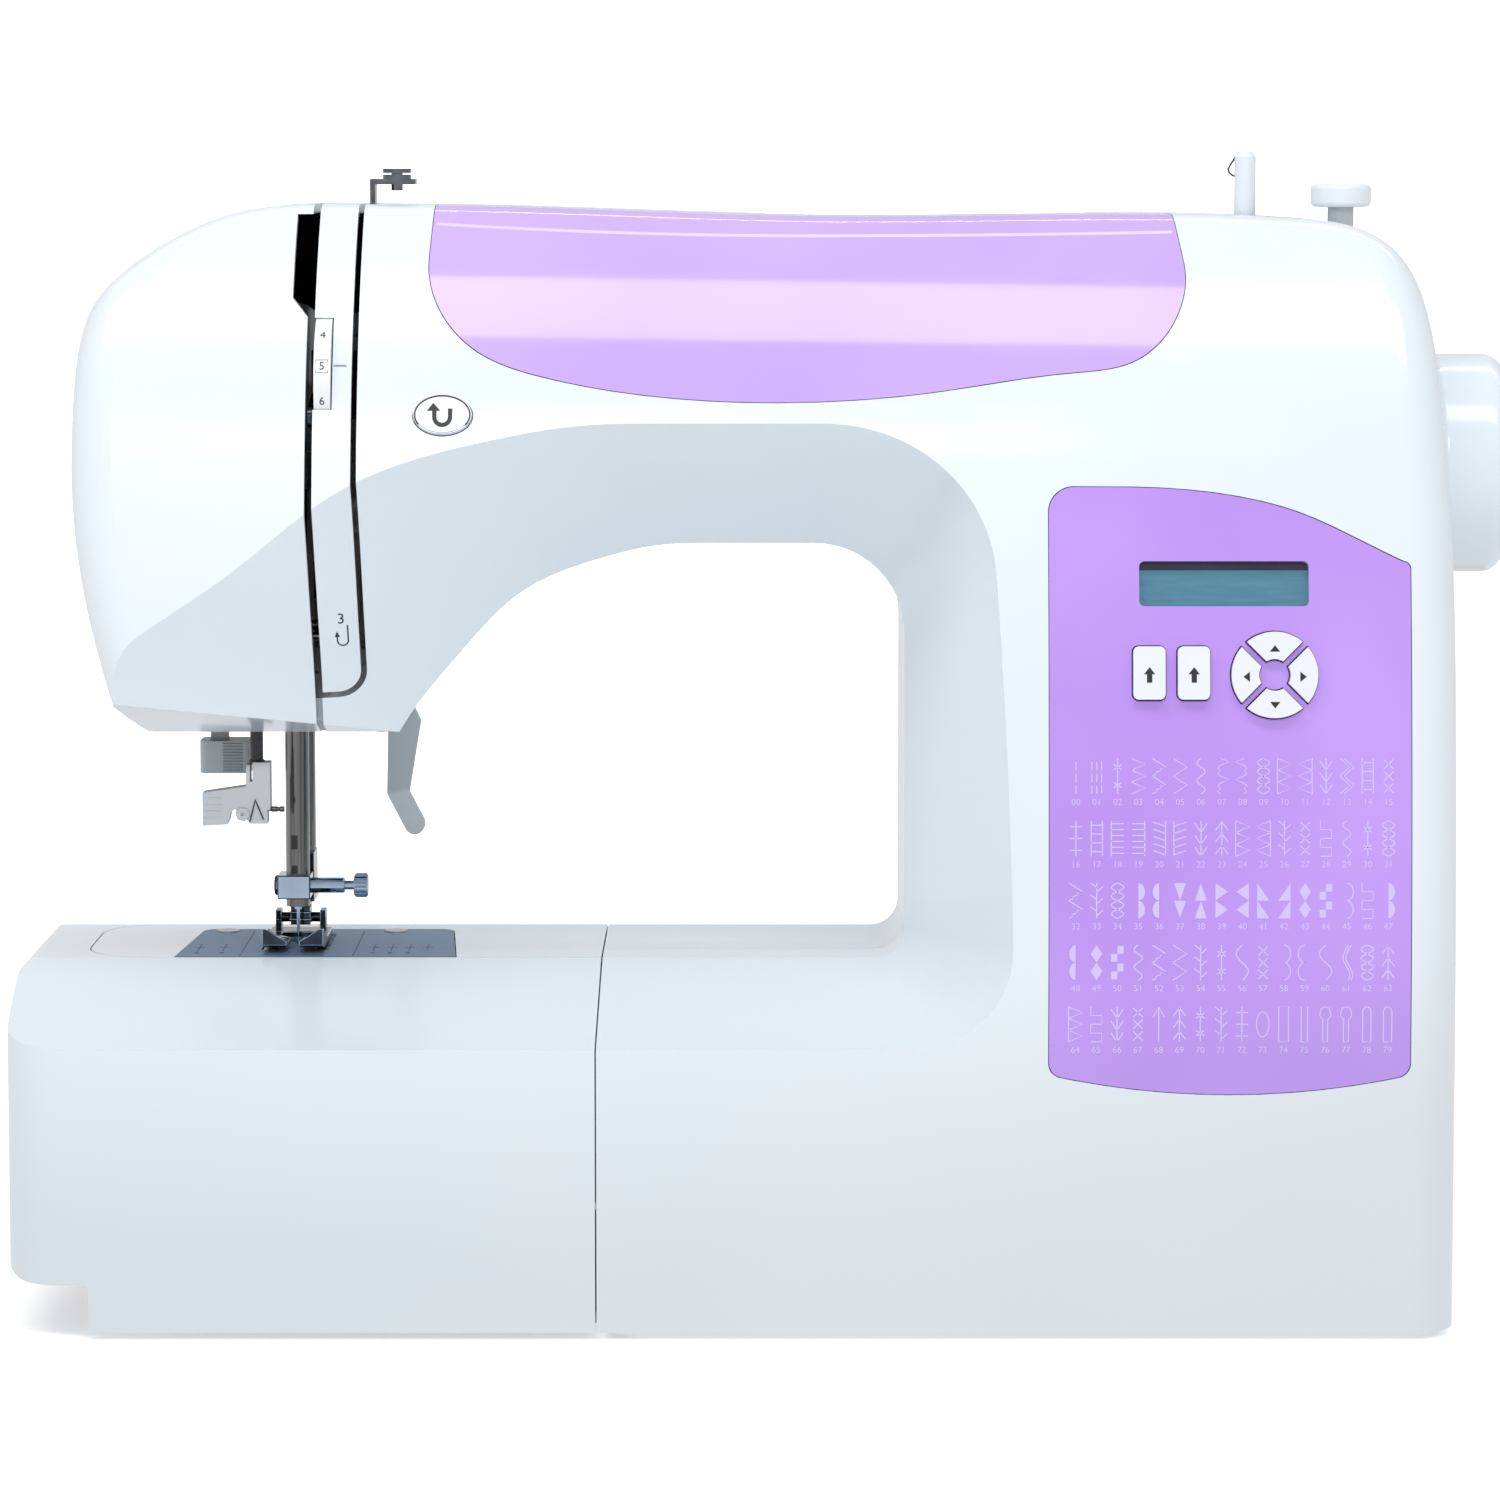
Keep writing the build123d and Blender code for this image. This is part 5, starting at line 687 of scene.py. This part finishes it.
# Keys: white caps that stand through the control panel, each on its own switch.
# Two upright keys carry an arrow, and four keys in a ring carry a pointer each.
key_white = moulded("key_white", (0.8, 0.82, 0.88), (0.84, 0.86, 0.91), 0.3)
dress(key_white, "key_left", "key_right", "pad_key_up", "pad_key_down", "pad_key_left", "pad_key_right")
ARROW_H = 4.1
ARROW_HEAD = 1.9
ARROW_W = 3.0
STEM_W = 1.4
for node, body in (("key_left", "key_a"), ("key_right", "key_b")):
    x, z = middle(node)
    top, low = z + ARROW_H / 2, z - ARROW_H / 2
    neck = top - ARROW_HEAD
    head = patch((x - ARROW_W / 2, neck), (x + ARROW_W / 2, neck), (x, top))
    stem = patch((x - STEM_W / 2, low), (x + STEM_W / 2, low), (x + STEM_W / 2, neck), (x - STEM_W / 2, neck))
    printed(f"{node}_arrow", [head, stem], lay_on(node), black_ink, body)

POINTER_W = 2.7
POINTER_H = 1.7
for node, body, turn in (("pad_key_up", "pad_n", 90), ("pad_key_down", "pad_s", 270),
                         ("pad_key_left", "pad_w", 180), ("pad_key_right", "pad_e", 0)):
    x, z = middle(node)
    out = Vector((math.cos(math.radians(turn)), math.sin(math.radians(turn))))
    side = Vector((-out.y, out.x))
    mid = Vector((x, z))
    points = [mid - out * POINTER_H / 2 - side * POINTER_W / 2, mid + out * POINTER_H / 2,
              mid - out * POINTER_H / 2 + side * POINTER_W / 2]
    printed(f"{node}_pointer", [patch(*map(tuple, points))], lay_on(node), black_ink, body)


# Reverse button: an oval white button on the arm with a turn-back arrow in black.
# A thin black line is printed round the cap, close to its edge.
dress(key_white, "reverse_button")
REVERSE_X = -85.9
REVERSE_Z = 246.1
RIM_W = 14.7
RIM_H = 9.9
RIM_LINE = 0.42
RIM_POINTS = 64
BEND_R = 2.1
BEND_DROP = 0.6
BEND_LINE = 1.15
BEND_TOPS = (1.6, 1.2)
BARB = ((-4.1, 1.0), (-0.5, 1.0), (-2.4, 3.1))
rim = []
for i in range(RIM_POINTS):
    turn = math.tau * i / RIM_POINTS
    rim.append((REVERSE_X + RIM_W / 2 * math.cos(turn), REVERSE_Z + RIM_H / 2 * math.sin(turn)))
bend = [(REVERSE_X + BEND_R, REVERSE_Z + BEND_TOPS[0])]
bend += arc(REVERSE_X, REVERSE_Z - BEND_DROP, BEND_R, 0, -180)
bend.append((REVERSE_X - BEND_R, REVERSE_Z + BEND_TOPS[1]))
hook_head = patch(*[(REVERSE_X + x, REVERSE_Z + z) for x, z in BARB])
on_button = lay_on("reverse_button")
printed("reverse_arrow", [pen(bend, BEND_LINE), hook_head], on_button, black_ink, "reverse")
printed("reverse_rim", [pen(rim, RIM_LINE, True)], on_button, black_ink, "reverse")


# Tension dial: a white drum behind the thread-guide strip, turned by a fingertip.
# The numbers run round its rim, and the one in use has a thin square about it.
dial_white = moulded("dial_white", (0.8, 0.83, 0.86), (0.84, 0.87, 0.9), 0.35)
dress(dial_white, "tension_dial")
FIGURE_H = 2.2
FIGURE_STEP = math.radians(27.0)
FIVE_AT = math.radians(16.7)
SQUARE_W = 1.6
SQUARE_H = 1.75
SQUARE_LINE = 0.16
dial_low, dial_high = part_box("tension_dial")
dial_mid = (dial_low + dial_high) / 2
dial_r = (dial_high.z - dial_low.z) / 2


def round_drum(across, round_it):
    """A point on the drum's rim: across it, and round it from the front, in millimetres."""
    turn = round_it * MM / dial_r
    out = dial_r + INK_T * MM
    deep = dial_mid.y - out * math.cos(turn)
    high = dial_mid.z + out * math.sin(turn)
    return Vector((dial_mid.x + across * MM, deep, high))


step = FIGURE_STEP * dial_r / MM
five = FIVE_AT * dial_r / MM
numbers = [figures(str(n), 0.0, five + (5 - n) * step, FIGURE_H) for n in range(10)]
corners = [(a * SQUARE_W, five + b * SQUARE_H) for a, b in ((-1, -1), (1, -1), (1, 1), (-1, 1))]
square = pen(corners, SQUARE_LINE, True)
printed("dial_numbers", [*numbers, square], round_drum, black_ink, "dial")


# Marks on the thread-guide strip: the pointer beside the dial window, and the
# third threading step with its turning arrow, printed in grey and black.
STRIP_MARK_X = (-115.2, -111.8)
STRIP_MARK_Z = 258.8
STRIP_MARK_LINE = 0.5
pointer = pen([(x, STRIP_MARK_Z) for x in STRIP_MARK_X], STRIP_MARK_LINE)
printed("dial_pointer", [pointer], lay_on("thread_guide_cover"), grey_ink, "machine")
STEP_X = -114.6
STEP_Z = 189.7
STEP_H = 3.0
STEP_LINE = 0.38
TURN_R = 1.4
TURN_Z = STEP_Z - 6.2
STEP_ASIDE = 0.2
PATH_TOPS = (1.8, 5.0)
STEP_BARB = ((-2.1, -5.1), (-0.7, -5.1), (-1.4, -3.5))
thread_path = [(STEP_X + TURN_R, STEP_Z - PATH_TOPS[0]), (STEP_X + TURN_R, TURN_Z)]
thread_path += arc(STEP_X, TURN_Z, TURN_R, 0, -180)[1:]
thread_path.append((STEP_X - TURN_R, STEP_Z - PATH_TOPS[1]))
barb = patch(*[(STEP_X + x, STEP_Z + z) for x, z in STEP_BARB])
threading = [figures("3", STEP_X - STEP_ASIDE, STEP_Z, STEP_H), pen(thread_path, STEP_LINE), barb]
printed("thread_step_mark", threading, lay_on("thread_guide_cover"), black_ink, "machine")


# Strip joint: below the strip the face cover and the front cover close on a joint that shows dark.
# A grey sheet stands a little behind the joint, on the back of the face cover, as painted shade.
SHADE_X = (-122.8, -120.6)
SHADE_Z = (156.4, 157.2, 158.5, 160.5, 163.5, 167.0)
SHADE_ASIDE = 0.3
SHADE_BACK = 1.2
SHADE_T = 3.0
beside = lay_on("front_cover")
joint_shade = bmesh.new()
joint_shade_loops = []
for z in SHADE_Z:
    front = beside(SHADE_X[1] + SHADE_ASIDE, z).y / MM + SHADE_BACK
    corners = [(SHADE_X[0], front), (SHADE_X[1], front), (SHADE_X[1], front + SHADE_T), (SHADE_X[0], front + SHADE_T)]
    joint_shade_loops.append([joint_shade.verts.new(Vector((x, y, z)) * MM) for x, y in corners])
skin_loops(joint_shade, joint_shade_loops)
# The grey sheet is painted shade for the inside of the joint.
make_piece("strip_joint_shade", from_bmesh("strip_joint_shade", joint_shade), rib_grey, "machine")


# Panel crease highlight: a fine pale line painted along the top of the arm panel as a highlight.
# It follows the fold where the panel turns over the shoulder.
crease_highlight_lilac = moulded("crease_highlight_lilac", (0.72, 0.58, 0.93), (0.77, 0.63, 0.96), 0.2)
HIGHLIGHT_X = (-89.0, 12.0, 110.0)
HIGHLIGHT_Z = (296.2, 293.0, 294.0)
HIGHLIGHT_W = 0.8
HIGHLIGHT_PARTS = 60
crease_highlight = []
for i in range(HIGHLIGHT_PARTS + 1):
    x = HIGHLIGHT_X[0] + (HIGHLIGHT_X[2] - HIGHLIGHT_X[0]) * i / HIGHLIGHT_PARTS
    end = 0 if x < HIGHLIGHT_X[1] else 2
    share = (x - HIGHLIGHT_X[1]) / (HIGHLIGHT_X[end] - HIGHLIGHT_X[1])
    crease_highlight.append((x, HIGHLIGHT_Z[1] + (HIGHLIGHT_Z[end] - HIGHLIGHT_Z[1]) * share ** 2))
# A painted highlight in pale lilac ink.
printed("arm_panel_crease_highlight", [pen(crease_highlight, HIGHLIGHT_W)], lay_on("arm_panel"), crease_highlight_lilac, "machine")


# Stitch chart: eighty common stitches in five rows on the control panel, with numbers.
# Pad printed in pale ink; lines are pen strokes and satin stitches are filled shapes.
pale_ink = moulded("pale_ink", (0.64, 0.5, 0.92), (0.7, 0.57, 0.95), 0.4, 0.3)
CHART_X = 82.2
CHART_Z = 151.0
COLUMN = 5.52
ROW = 16.45
STITCH_W = 3.7
STITCH_H = 9.4
LINE_W = 0.34
NUMBER_DROP = 6.9
NUMBER_H = 1.75
DISC_PARTS = 8
DISC_W = 0.95
HALF_TURN = [math.pi * i / DISC_PARTS for i in range(1, DISC_PARTS)]
WAVE_PARTS = 12


def along(times, *lines):
    """One stitch drawn end to end: across is -1 to 1, and up is 0 to 1."""
    return [[(u, (v + i) / times) for u, v in line] for i in range(times) for line in lines]


def flipped(lines):
    return [[(-u, v) for u, v in line] for line in lines]


def half_disc(side):
    edge = [(side * DISC_W * math.sin(t), 0.5 - 0.5 * math.cos(t)) for t in HALF_TURN]
    return [(0.0, 0.0), *edge, (0.0, 1.0)]


def wave(size, shift=0.0):
    steps = [i / WAVE_PARTS for i in range(WAVE_PARTS + 1)]
    return [(size * math.sin(math.tau * (s + shift)), s) for s in steps]


zigzag = along(3, [(-1, 0), (1, 0.5), (-1, 1)])
blind_hem = along(2, [(-0.2, 0), (-0.6, 0.15), (-0.2, 0.3), (-0.6, 0.45), (-0.2, 0.6), (1, 0.8), (-0.2, 1)])
comb = along(6, [(-0.9, 0), (-0.9, 1)], [(-0.9, 0.5), (0.9, 0.5)])
slant_comb = along(5, [(-0.9, 0), (-0.9, 1)], [(-0.9, 0.2), (0.9, 0.8)])
feather = along(3, [(0, 0), (0, 1)], [(0, 0), (-0.9, 0.8)], [(0, 0), (0.9, 0.8)])
LINES = {
    "straight": along(3, [(0, 0), (0, 0.7)]),
    "triple": along(3, *[[(u, 0), (u, 0.7)] for u in (-0.7, 0, 0.7)]),
    "zigzag": zigzag,
    "wide_zigzag": along(2, [(-1, 0), (1, 0.5), (-1, 1)]),
    "steps": along(2, [(-1, 0), (-0.3, 0.15), (-0.5, 0.2), (0.3, 0.35), (0.1, 0.4), (1, 0.5), (-1, 1)]),
    "blind": blind_hem,
    "blind_left": flipped(blind_hem),
    "edge": zigzag + along(1, [(-1, 0), (-1, 1)]),
    "edge_left": flipped(zigzag) + along(1, [(1, 0), (1, 1)]),
    "comb": comb,
    "comb_left": flipped(comb),
    "slant": slant_comb,
    "slant_left": flipped(slant_comb),
    "honeycomb": along(2, wave(0.9), wave(-0.9)),
    "feather": feather,
    "pine": along(3, [(0, 0), (0, 1)], [(0, 0.9), (-0.9, 0.2)], [(0, 0.9), (0.9, 0.2)]),
    "ladder": along(4, [(-0.8, 0), (-0.8, 1)], [(0.8, 0), (0.8, 1)], [(-0.8, 0.5), (0.8, 0.5)]),
    "bars": along(3, [(0, 0), (0, 1)], [(-0.9, 0.5), (0.9, 0.5)]),
    "cross": along(3, [(-0.7, 0.1), (0.7, 0.9)], [(0.7, 0.1), (-0.7, 0.9)]),
    "double_zigzag": along(2, [(-1, 0), (0.4, 0.5), (-1, 1)], [(-0.4, 0), (1, 0.5), (-0.4, 1)]),
    "meander": along(2, [(-0.8, 0), (0.8, 0), (0.8, 0.5), (-0.8, 0.5), (-0.8, 1)]),
    "star": along(2, [(0, 0), (0, 1)], [(-0.6, 0.35), (0.6, 0.65)], [(0.6, 0.35), (-0.6, 0.65)]),
    "scallop": along(2, half_disc(1)),
    "scallop_left": along(2, half_disc(-1)),
    "wave": along(1, wave(0.9)),
    "ripple": along(2, wave(0.6)),
    "twin_wave": along(1, wave(0.5, 0.1), [(u + 0.4, v) for u, v in wave(0.5, 0.1)]),
    "arrow": along(1, [(0, 0), (0, 1)], [(-0.8, 0.7), (0, 1), (0.8, 0.7)]),
    "branch": along(3, [(0, 0), (0, 1)], [(0, 0.2), (0.9, 0.7)], [(0, 0.6), (-0.9, 1)]),
    "eyelet": along(1, [(0.9 * u, 0.5 + 0.36 * v) for u, v in arc(0, 0, 1, 0, 360, 20)]),
    "hole_square": along(1, [(-0.7, 0), (0.7, 0), (0.7, 1), (-0.7, 1), (-0.7, 0)]),
    "hole_slim": along(1, [(-0.45, 0), (0.45, 0), (0.45, 1), (-0.45, 1), (-0.45, 0)]),
    "hole_round": along(1, [(-0.6, 0), (0.6, 0), (0.6, 0.85)]
                        + [(0.6 * math.cos(t), 0.85 + 0.15 * math.sin(t)) for t in HALF_TURN]
                        + [(-0.6, 0.85), (-0.6, 0)]),
    "hole_key": along(1, [(-0.35, 0), (0.35, 0), (0.35, 0.62), (0.8, 0.75), (0.6, 0.95), (0, 1.0),
                          (-0.6, 0.95), (-0.8, 0.75), (-0.35, 0.62), (-0.35, 0)]),
}
FILLS = {
    "discs": along(2, half_disc(1)),
    "discs_left": along(2, half_disc(-1)),
    "teeth": along(2, [(-0.9, 0), (0.9, 0.5), (-0.9, 1)]),
    "teeth_left": along(2, [(0.9, 0), (0.9, 1), (-0.9, 0.5)]),
    "saw": along(2, [(-0.9, 0), (0.9, 0), (-0.9, 1)]),
    "saw_left": along(2, [(-0.9, 0), (0.9, 0), (0.9, 1)]),
    "diamonds": along(2, [(0, 0), (0.85, 0.5), (0, 1), (-0.85, 0.5)]),
    "spires": along(2, [(-0.85, 0), (0.85, 0), (0, 1)]),
    "drops": along(2, [(0, 0), (0.85, 1), (-0.85, 1)]),
    "blocks": along(2, [(-0.9, 0.05), (0, 0.05), (0, 0.5), (-0.9, 0.5)],
                    [(0, 0.5), (0.9, 0.5), (0.9, 0.95), (0, 0.95)]),
}
CHART = (
    "straight triple star zigzag steps wide_zigzag ripple blind "
    "blind_left honeycomb edge edge_left feather double_zigzag ladder cross",
    "bars ladder comb comb_left slant_left slant feather pine "
    "edge edge_left branch cross meander ripple star honeycomb",
    "steps branch honeycomb discs discs_left drops spires teeth "
    "teeth_left saw saw_left diamonds blocks scallop meander discs",
    "discs_left diamonds blocks ripple steps wide_zigzag branch star "
    "wave cross scallop scallop_left wave twin_wave honeycomb pine",
    "edge meander feather cross arrow pine star branch "
    "bars eyelet hole_square hole_slim hole_key hole_key hole_round hole_round",
)


def on_chart(line, x, z):
    """A stitch's line in its place on the chart, in millimetres."""
    return [(x + u * STITCH_W / 2, z + (v - 0.5) * STITCH_H) for u, v in line]


chart_marks = []
for row, names in enumerate(CHART):
    stitches = names.split()
    for column, name in enumerate(stitches):
        x = CHART_X + column * COLUMN
        z = CHART_Z - row * ROW
        chart_marks += [pen(on_chart(line, x, z), LINE_W) for line in LINES.get(name, [])]
        chart_marks += [patch(*on_chart(line, x, z)) for line in FILLS.get(name, [])]
        number = row * len(stitches) + column
        chart_marks.append(figures(f"{number:02d}", x, z - NUMBER_DROP, NUMBER_H))
printed("stitch_chart", chart_marks, lay_on("control_panel"), pale_ink, "machine")


# Needle plate: stamped steel, brushed from side to side, let in flush with the bed.
# Seam guide lines are etched dark at measured steps on both sides of the needle.
plate_steel = metal("plate_steel", (0.17, 0.25, 0.36), (0.23, 0.32, 0.44), 0.42, 0.55, (1, 14, 14), 1.2)
shader_of(plate_steel).inputs["Metallic"].default_value = 0.6
shader_of(plate_steel).inputs["Specular IOR Level"].default_value = 0.2
dress(plate_steel, "needle_plate")
etched = moulded("etched", (0.05, 0.06, 0.08), (0.08, 0.09, 0.11), 0.5, 0.3)
plate_low, plate_high = (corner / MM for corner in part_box("needle_plate"))
SEAM_GAPS = (-27.0, -20.0, 22.0, 27.0, 32.0, 37.0)
SEAM_NUMBERS = ("6", "4", "4", "5", "6")
SEAM_Y = (-4.0, 8.0)
SEAM_LINE = 0.35
TICK_HALF = 1.4
TICK_Y = 2.0
TICK_LINE = 0.3
SEAM_NUMBER_Y = -7.8
SEAM_NUMBER_H = 2.4
LONG_GAPS = (-14.4, 17.0)
LONG_Y = (plate_low.y + 1.0, plate_high.y - 4.0)
guides = []
for gap in SEAM_GAPS:
    x = NEEDLE_X + gap
    guides.append(pen([(x, y) for y in SEAM_Y], SEAM_LINE))
    guides.append(pen([(x - TICK_HALF, TICK_Y), (x + TICK_HALF, TICK_Y)], TICK_LINE))
for gap, text in zip(SEAM_GAPS, SEAM_NUMBERS):
    guides.append(figures(text, NEEDLE_X + gap, SEAM_NUMBER_Y, SEAM_NUMBER_H))
for gap in LONG_GAPS:
    guides.append(pen([(NEEDLE_X + gap, y) for y in LONG_Y], SEAM_LINE))
printed("seam_guides", guides, lay_on("needle_plate", FROM_ABOVE), etched, "machine")


# Free arm, shuttle door and extension table: white mouldings round the lower arm.
# The table slides off to the left, and the door behind it drops on two pins.
dress(shell_white, "extension_table", "shuttle_door")


# Top of the arm: bent steel thread guide, winder spindle and stop, and the spool pin.
# The spindle turns in the winder arm; a wire spring on its side grips the bobbin, and
# a printed arrow shows which way to push it.
guide_steel = metal("guide_steel", (0.1, 0.11, 0.13), (0.2, 0.21, 0.23), 0.12, 0.24, width=3.0)
soft_white = moulded("soft_white", (0.7, 0.75, 0.8), (0.76, 0.8, 0.85), 0.35)
dress(guide_steel, "top_thread_guide")
dress(soft_white, "winder_stop", "spool_pin", "winder_spindle")
dress(lever_grey, "winder_arm")
STOP_DISC_Z = 300.4
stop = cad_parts["winder_stop"].data
stop.materials.append(lever_grey)
for face in stop.polygons:
    if face.center.z < STOP_DISC_Z * MM:
        face.material_index = 1
SPINDLE = (133.7, 10.0)
SPRING_BENDS = ((2.6, 314.4), (3.2, 313.4), (4.1, 312.0), (4.7, 310.8), (4.4, 309.8), (3.4, 309.0),
                (2.6, 308.8))
SPRING_R = 0.3
spring = bmesh.new()
add_wire(spring, [(SPINDLE[0] - out, SPINDLE[1], z) for out, z in SPRING_BENDS], SPRING_R)
make_piece("spindle_spring", from_bmesh("spindle_spring", spring), spring_wire, "spindle")
WIND_X = 137.0
WIND_Y = -21.0
WIND_DASHES = (((-0.9, 0.9), 0.7), ((2.4, 6.0), 0.6))
WIND_HEAD = ((5.6, -1.3), (9.4, 0.0), (5.6, 1.3))
wind_way = [pen([(WIND_X + out, WIND_Y) for out in ends], width) for ends, width in WIND_DASHES]
wind_way.append(patch(*[(WIND_X + x, WIND_Y + y) for x, y in WIND_HEAD]))
printed("winding_arrow", wind_way, lay_on("front_cover", FROM_ABOVE), grey_ink, "machine")


# Handwheel and carrying handle: white mouldings with the same polish as the covers.
# The wheel is keyed to the main shaft, and the handle swings on two pins at the rear.
dress(shell_white, "handwheel", "carry_handle")


# Power inlet: a black mains socket with a rocker switch, set in the right-hand end.
# The rocker is printed with the usual line and circle for on and off.
socket_black = moulded("socket_black", (0.012, 0.012, 0.013), (0.022, 0.022, 0.024), 0.45)
dress(socket_black, "power_inlet", "power_rocker")
rocker_low, rocker_high = (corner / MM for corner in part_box("power_rocker"))
rocker_y = (rocker_low.y + rocker_high.y) / 2
rocker_z = (rocker_low.z + rocker_high.z) / 2
MARK_GAP = 4.6
MARK_HALF = 1.6
MARK_R = 1.5
MARK_LINE = 0.45
switch_ink = moulded("switch_ink", (0.6, 0.6, 0.62), (0.7, 0.7, 0.72), 0.5, 0.3)
on_mark = [(rocker_y - MARK_GAP, rocker_z + up) for up in (-MARK_HALF, MARK_HALF)]
off_mark = arc(rocker_y + MARK_GAP, rocker_z, MARK_R, 0, 345, 23)
on_off = [pen(on_mark, MARK_LINE), pen(off_mark, MARK_LINE, True)]
printed("rocker_marks", on_off, lay_on("power_rocker", FROM_RIGHT), switch_ink, "rocker")


# Screws: bright steel screws under the base, in the plate and under the head.
# The rear cover is held by five pan heads set square on its face, each with a dark cross of
# painted shade where its recess would be cut, and the screw under the head has a domed end.
dress(ground_steel, "screws")
COVER_SCREWS = ((-112.0, 205.0), (60.0, 206.0), (160.0, 206.0), (160.0, 112.0), (58.0, 112.0))
HEAD_STEPS = [(2.9, -0.6), (2.9, 0.3), (2.5, 0.7), (1.6, 0.9)]
CROSS_HALF = 1.5
CROSS_W = 0.3
CROSS_DEPTH = 0.1
CROSS_PROUD = 0.03
on_rear = lay_on("rear_cover", FROM_BEHIND)
heads = bmesh.new()
cross_shades = bmesh.new()
for x, z in COVER_SCREWS:
    seat = on_rear(x, z) / MM
    add_turned(heads, seat, Y_AXIS, HEAD_STEPS)
    crown = seat.y + HEAD_STEPS[-1][1]
    for wide, tall in ((CROSS_HALF, CROSS_W), (CROSS_W, CROSS_HALF)):
        cross_low = (x - wide, crown - CROSS_DEPTH, z - tall)
        add_block(cross_shades, cross_low, (x + wide, crown + CROSS_PROUD, z + tall))
make_piece("cover_screws", from_bmesh("cover_screws", heads), ground_steel, "machine")
# The dark crosses are painted shade, not cut recesses.
cross_shades = from_bmesh("cover_screw_cross_shade", cross_shades)
make_piece("cover_screw_cross_shade", cross_shades, dark_rod, "machine")
DOME_FOOT = Vector((-107.3, 2.0, 156.0))
DOME_STEPS = [(2.4, 0.0), (2.4, -0.7), (2.1, -1.4), (1.3, -1.9), (0.4, -2.05)]
dome = bmesh.new()
add_turned(dome, DOME_FOOT, Z_AXIS, DOME_STEPS)
make_piece("head_screw_dome", from_bmesh("head_screw_dome", dome), chrome, "machine")


# Floor and backdrop: one pale sheet of paper that lies flat and curves up behind.
# It glows a little, as a sheet lit from below does, and isn't part of the machine.
paper = new_finish("paper", 0.2)
tint(paper, mottle(paper, 400.0), (0.9, 0.9, 0.91), (0.92, 0.92, 0.93))
polish(paper, mottle(paper, 60.0), 0.7, 0.85)
shader_of(paper).inputs["Emission Color"].default_value = (1.0, 1.0, 1.0, 1.0)
shader_of(paper).inputs["Emission Strength"].default_value = 0.45
SHEET_HALF = 6.0
SHEET_FRONT = -5.0
SHEET_FOLD = 2.0
FOLD_R = 1.2
SHEET_TOP = 5.0
fall = [(SHEET_FRONT, 0.0), (SHEET_FOLD, 0.0)]
for degrees in range(10, 91, 10):
    turn = math.radians(degrees)
    fall.append((SHEET_FOLD + FOLD_R * math.sin(turn), FOLD_R - FOLD_R * math.cos(turn)))
fall.append((SHEET_FOLD + FOLD_R, SHEET_TOP))
build = bmesh.new()
rows = [[build.verts.new((x, y, z)) for x in (-SHEET_HALF, SHEET_HALF)] for y, z in fall]
for low, high in zip(rows, rows[1:]):
    build.faces.new((low[0], low[1], high[1], high[0]))
sheet = bpy.data.meshes.new("backdrop")
build.to_mesh(sheet)
build.free()
sheet.materials.append(paper)
sheet.shade_smooth()
backdrop = bpy.data.objects.new("backdrop", sheet)
bpy.context.scene.collection.objects.link(backdrop)
backdrop.visible_diffuse = False
backdrop.visible_glossy = False


# Studio light: a wide softbox overhead, one on the backdrop, a round lamp in front
# whose lower edge is cut off above the table, and a white room, brighter near the floor.
def aim_lamp(name, light, place, aim):
    """Sets a light in its place, facing a point."""
    lamp = bpy.data.objects.new(name, light)
    lamp.location = place
    lamp.rotation_euler = (Vector(aim) - Vector(place)).to_track_quat("-Z", "Y").to_euler()
    bpy.context.scene.collection.objects.link(lamp)


def softbox(name, place, aim, width, height, power):
    """An evenly lit rectangle."""
    light = bpy.data.lights.new(name, "AREA")
    light.shape = "RECTANGLE"
    light.size = width
    light.size_y = height
    light.energy = power
    aim_lamp(name, light, place, aim)


MACHINE = (0.0, 0.0, 0.2)
BACKDROP = (0.0, 3.2, 0.9)
softbox("softbox_above", (-0.2, -0.8, 1.68), MACHINE, 2.4, 0.5, 16.0)
softbox("softbox_backdrop", (0.0, 1.3, 2.4), BACKDROP, 4.0, 0.8, 90.0)
LAMP = (-0.1, -2.0, 1.12)
LAMP_REACH = 1.088
BASE_FRONT = -0.08
cone = bpy.data.lights.new("lamp_front", "SPOT")
cone.energy = 32.0
cone.shadow_soft_size = 0.03
cone.spot_size = 2 * math.atan(LAMP_REACH / (BASE_FRONT - LAMP[1]))
cone.spot_blend = 0.06
aim_lamp("lamp_front", cone, LAMP, (LAMP[0], 0.0, LAMP[2]))
room = bpy.data.worlds.new("room")
room.use_nodes = True
tree = room.node_tree
way = tree.nodes.new("ShaderNodeTexCoord")
height = tree.nodes.new("ShaderNodeSeparateXYZ")
sky = tree.nodes.new("ShaderNodeMapRange")
sky.inputs["From Min"].default_value = -0.3
sky.inputs["From Max"].default_value = 0.5
sky.inputs["To Min"].default_value = 0.95
sky.inputs["To Max"].default_value = 0.56
tree.links.new(way.outputs["Generated"], height.inputs["Vector"])
tree.links.new(height.outputs["Z"], sky.inputs["Value"])
tree.links.new(sky.outputs["Result"], tree.nodes["Background"].inputs["Strength"])
tree.nodes["Background"].inputs["Color"].default_value = (0.97, 0.985, 1.0, 1.0)
bpy.context.scene.world = room
bpy.context.scene.view_settings.view_transform = "Standard"


# Camera: a long lens in front of the machine, level with its top and tipped down.
# The frame is dropped a little, so the machine sits in it as it was photographed.
LENS = 125.14
SENSOR = 36.0
FRAME_DROP = -0.08
TIP = 5.276
CAMERA_AT = (-0.00411, -1.44713, 0.31651)
lens = bpy.data.cameras.new("front_view")
lens.lens = LENS
lens.sensor_width = SENSOR
lens.shift_y = FRAME_DROP
camera = bpy.data.objects.new("front_view", lens)
camera.location = CAMERA_AT
camera.rotation_euler = (math.radians(90.0 - TIP), 0.0, 0.0)
bpy.context.scene.collection.objects.link(camera)
bpy.context.scene.camera = camera
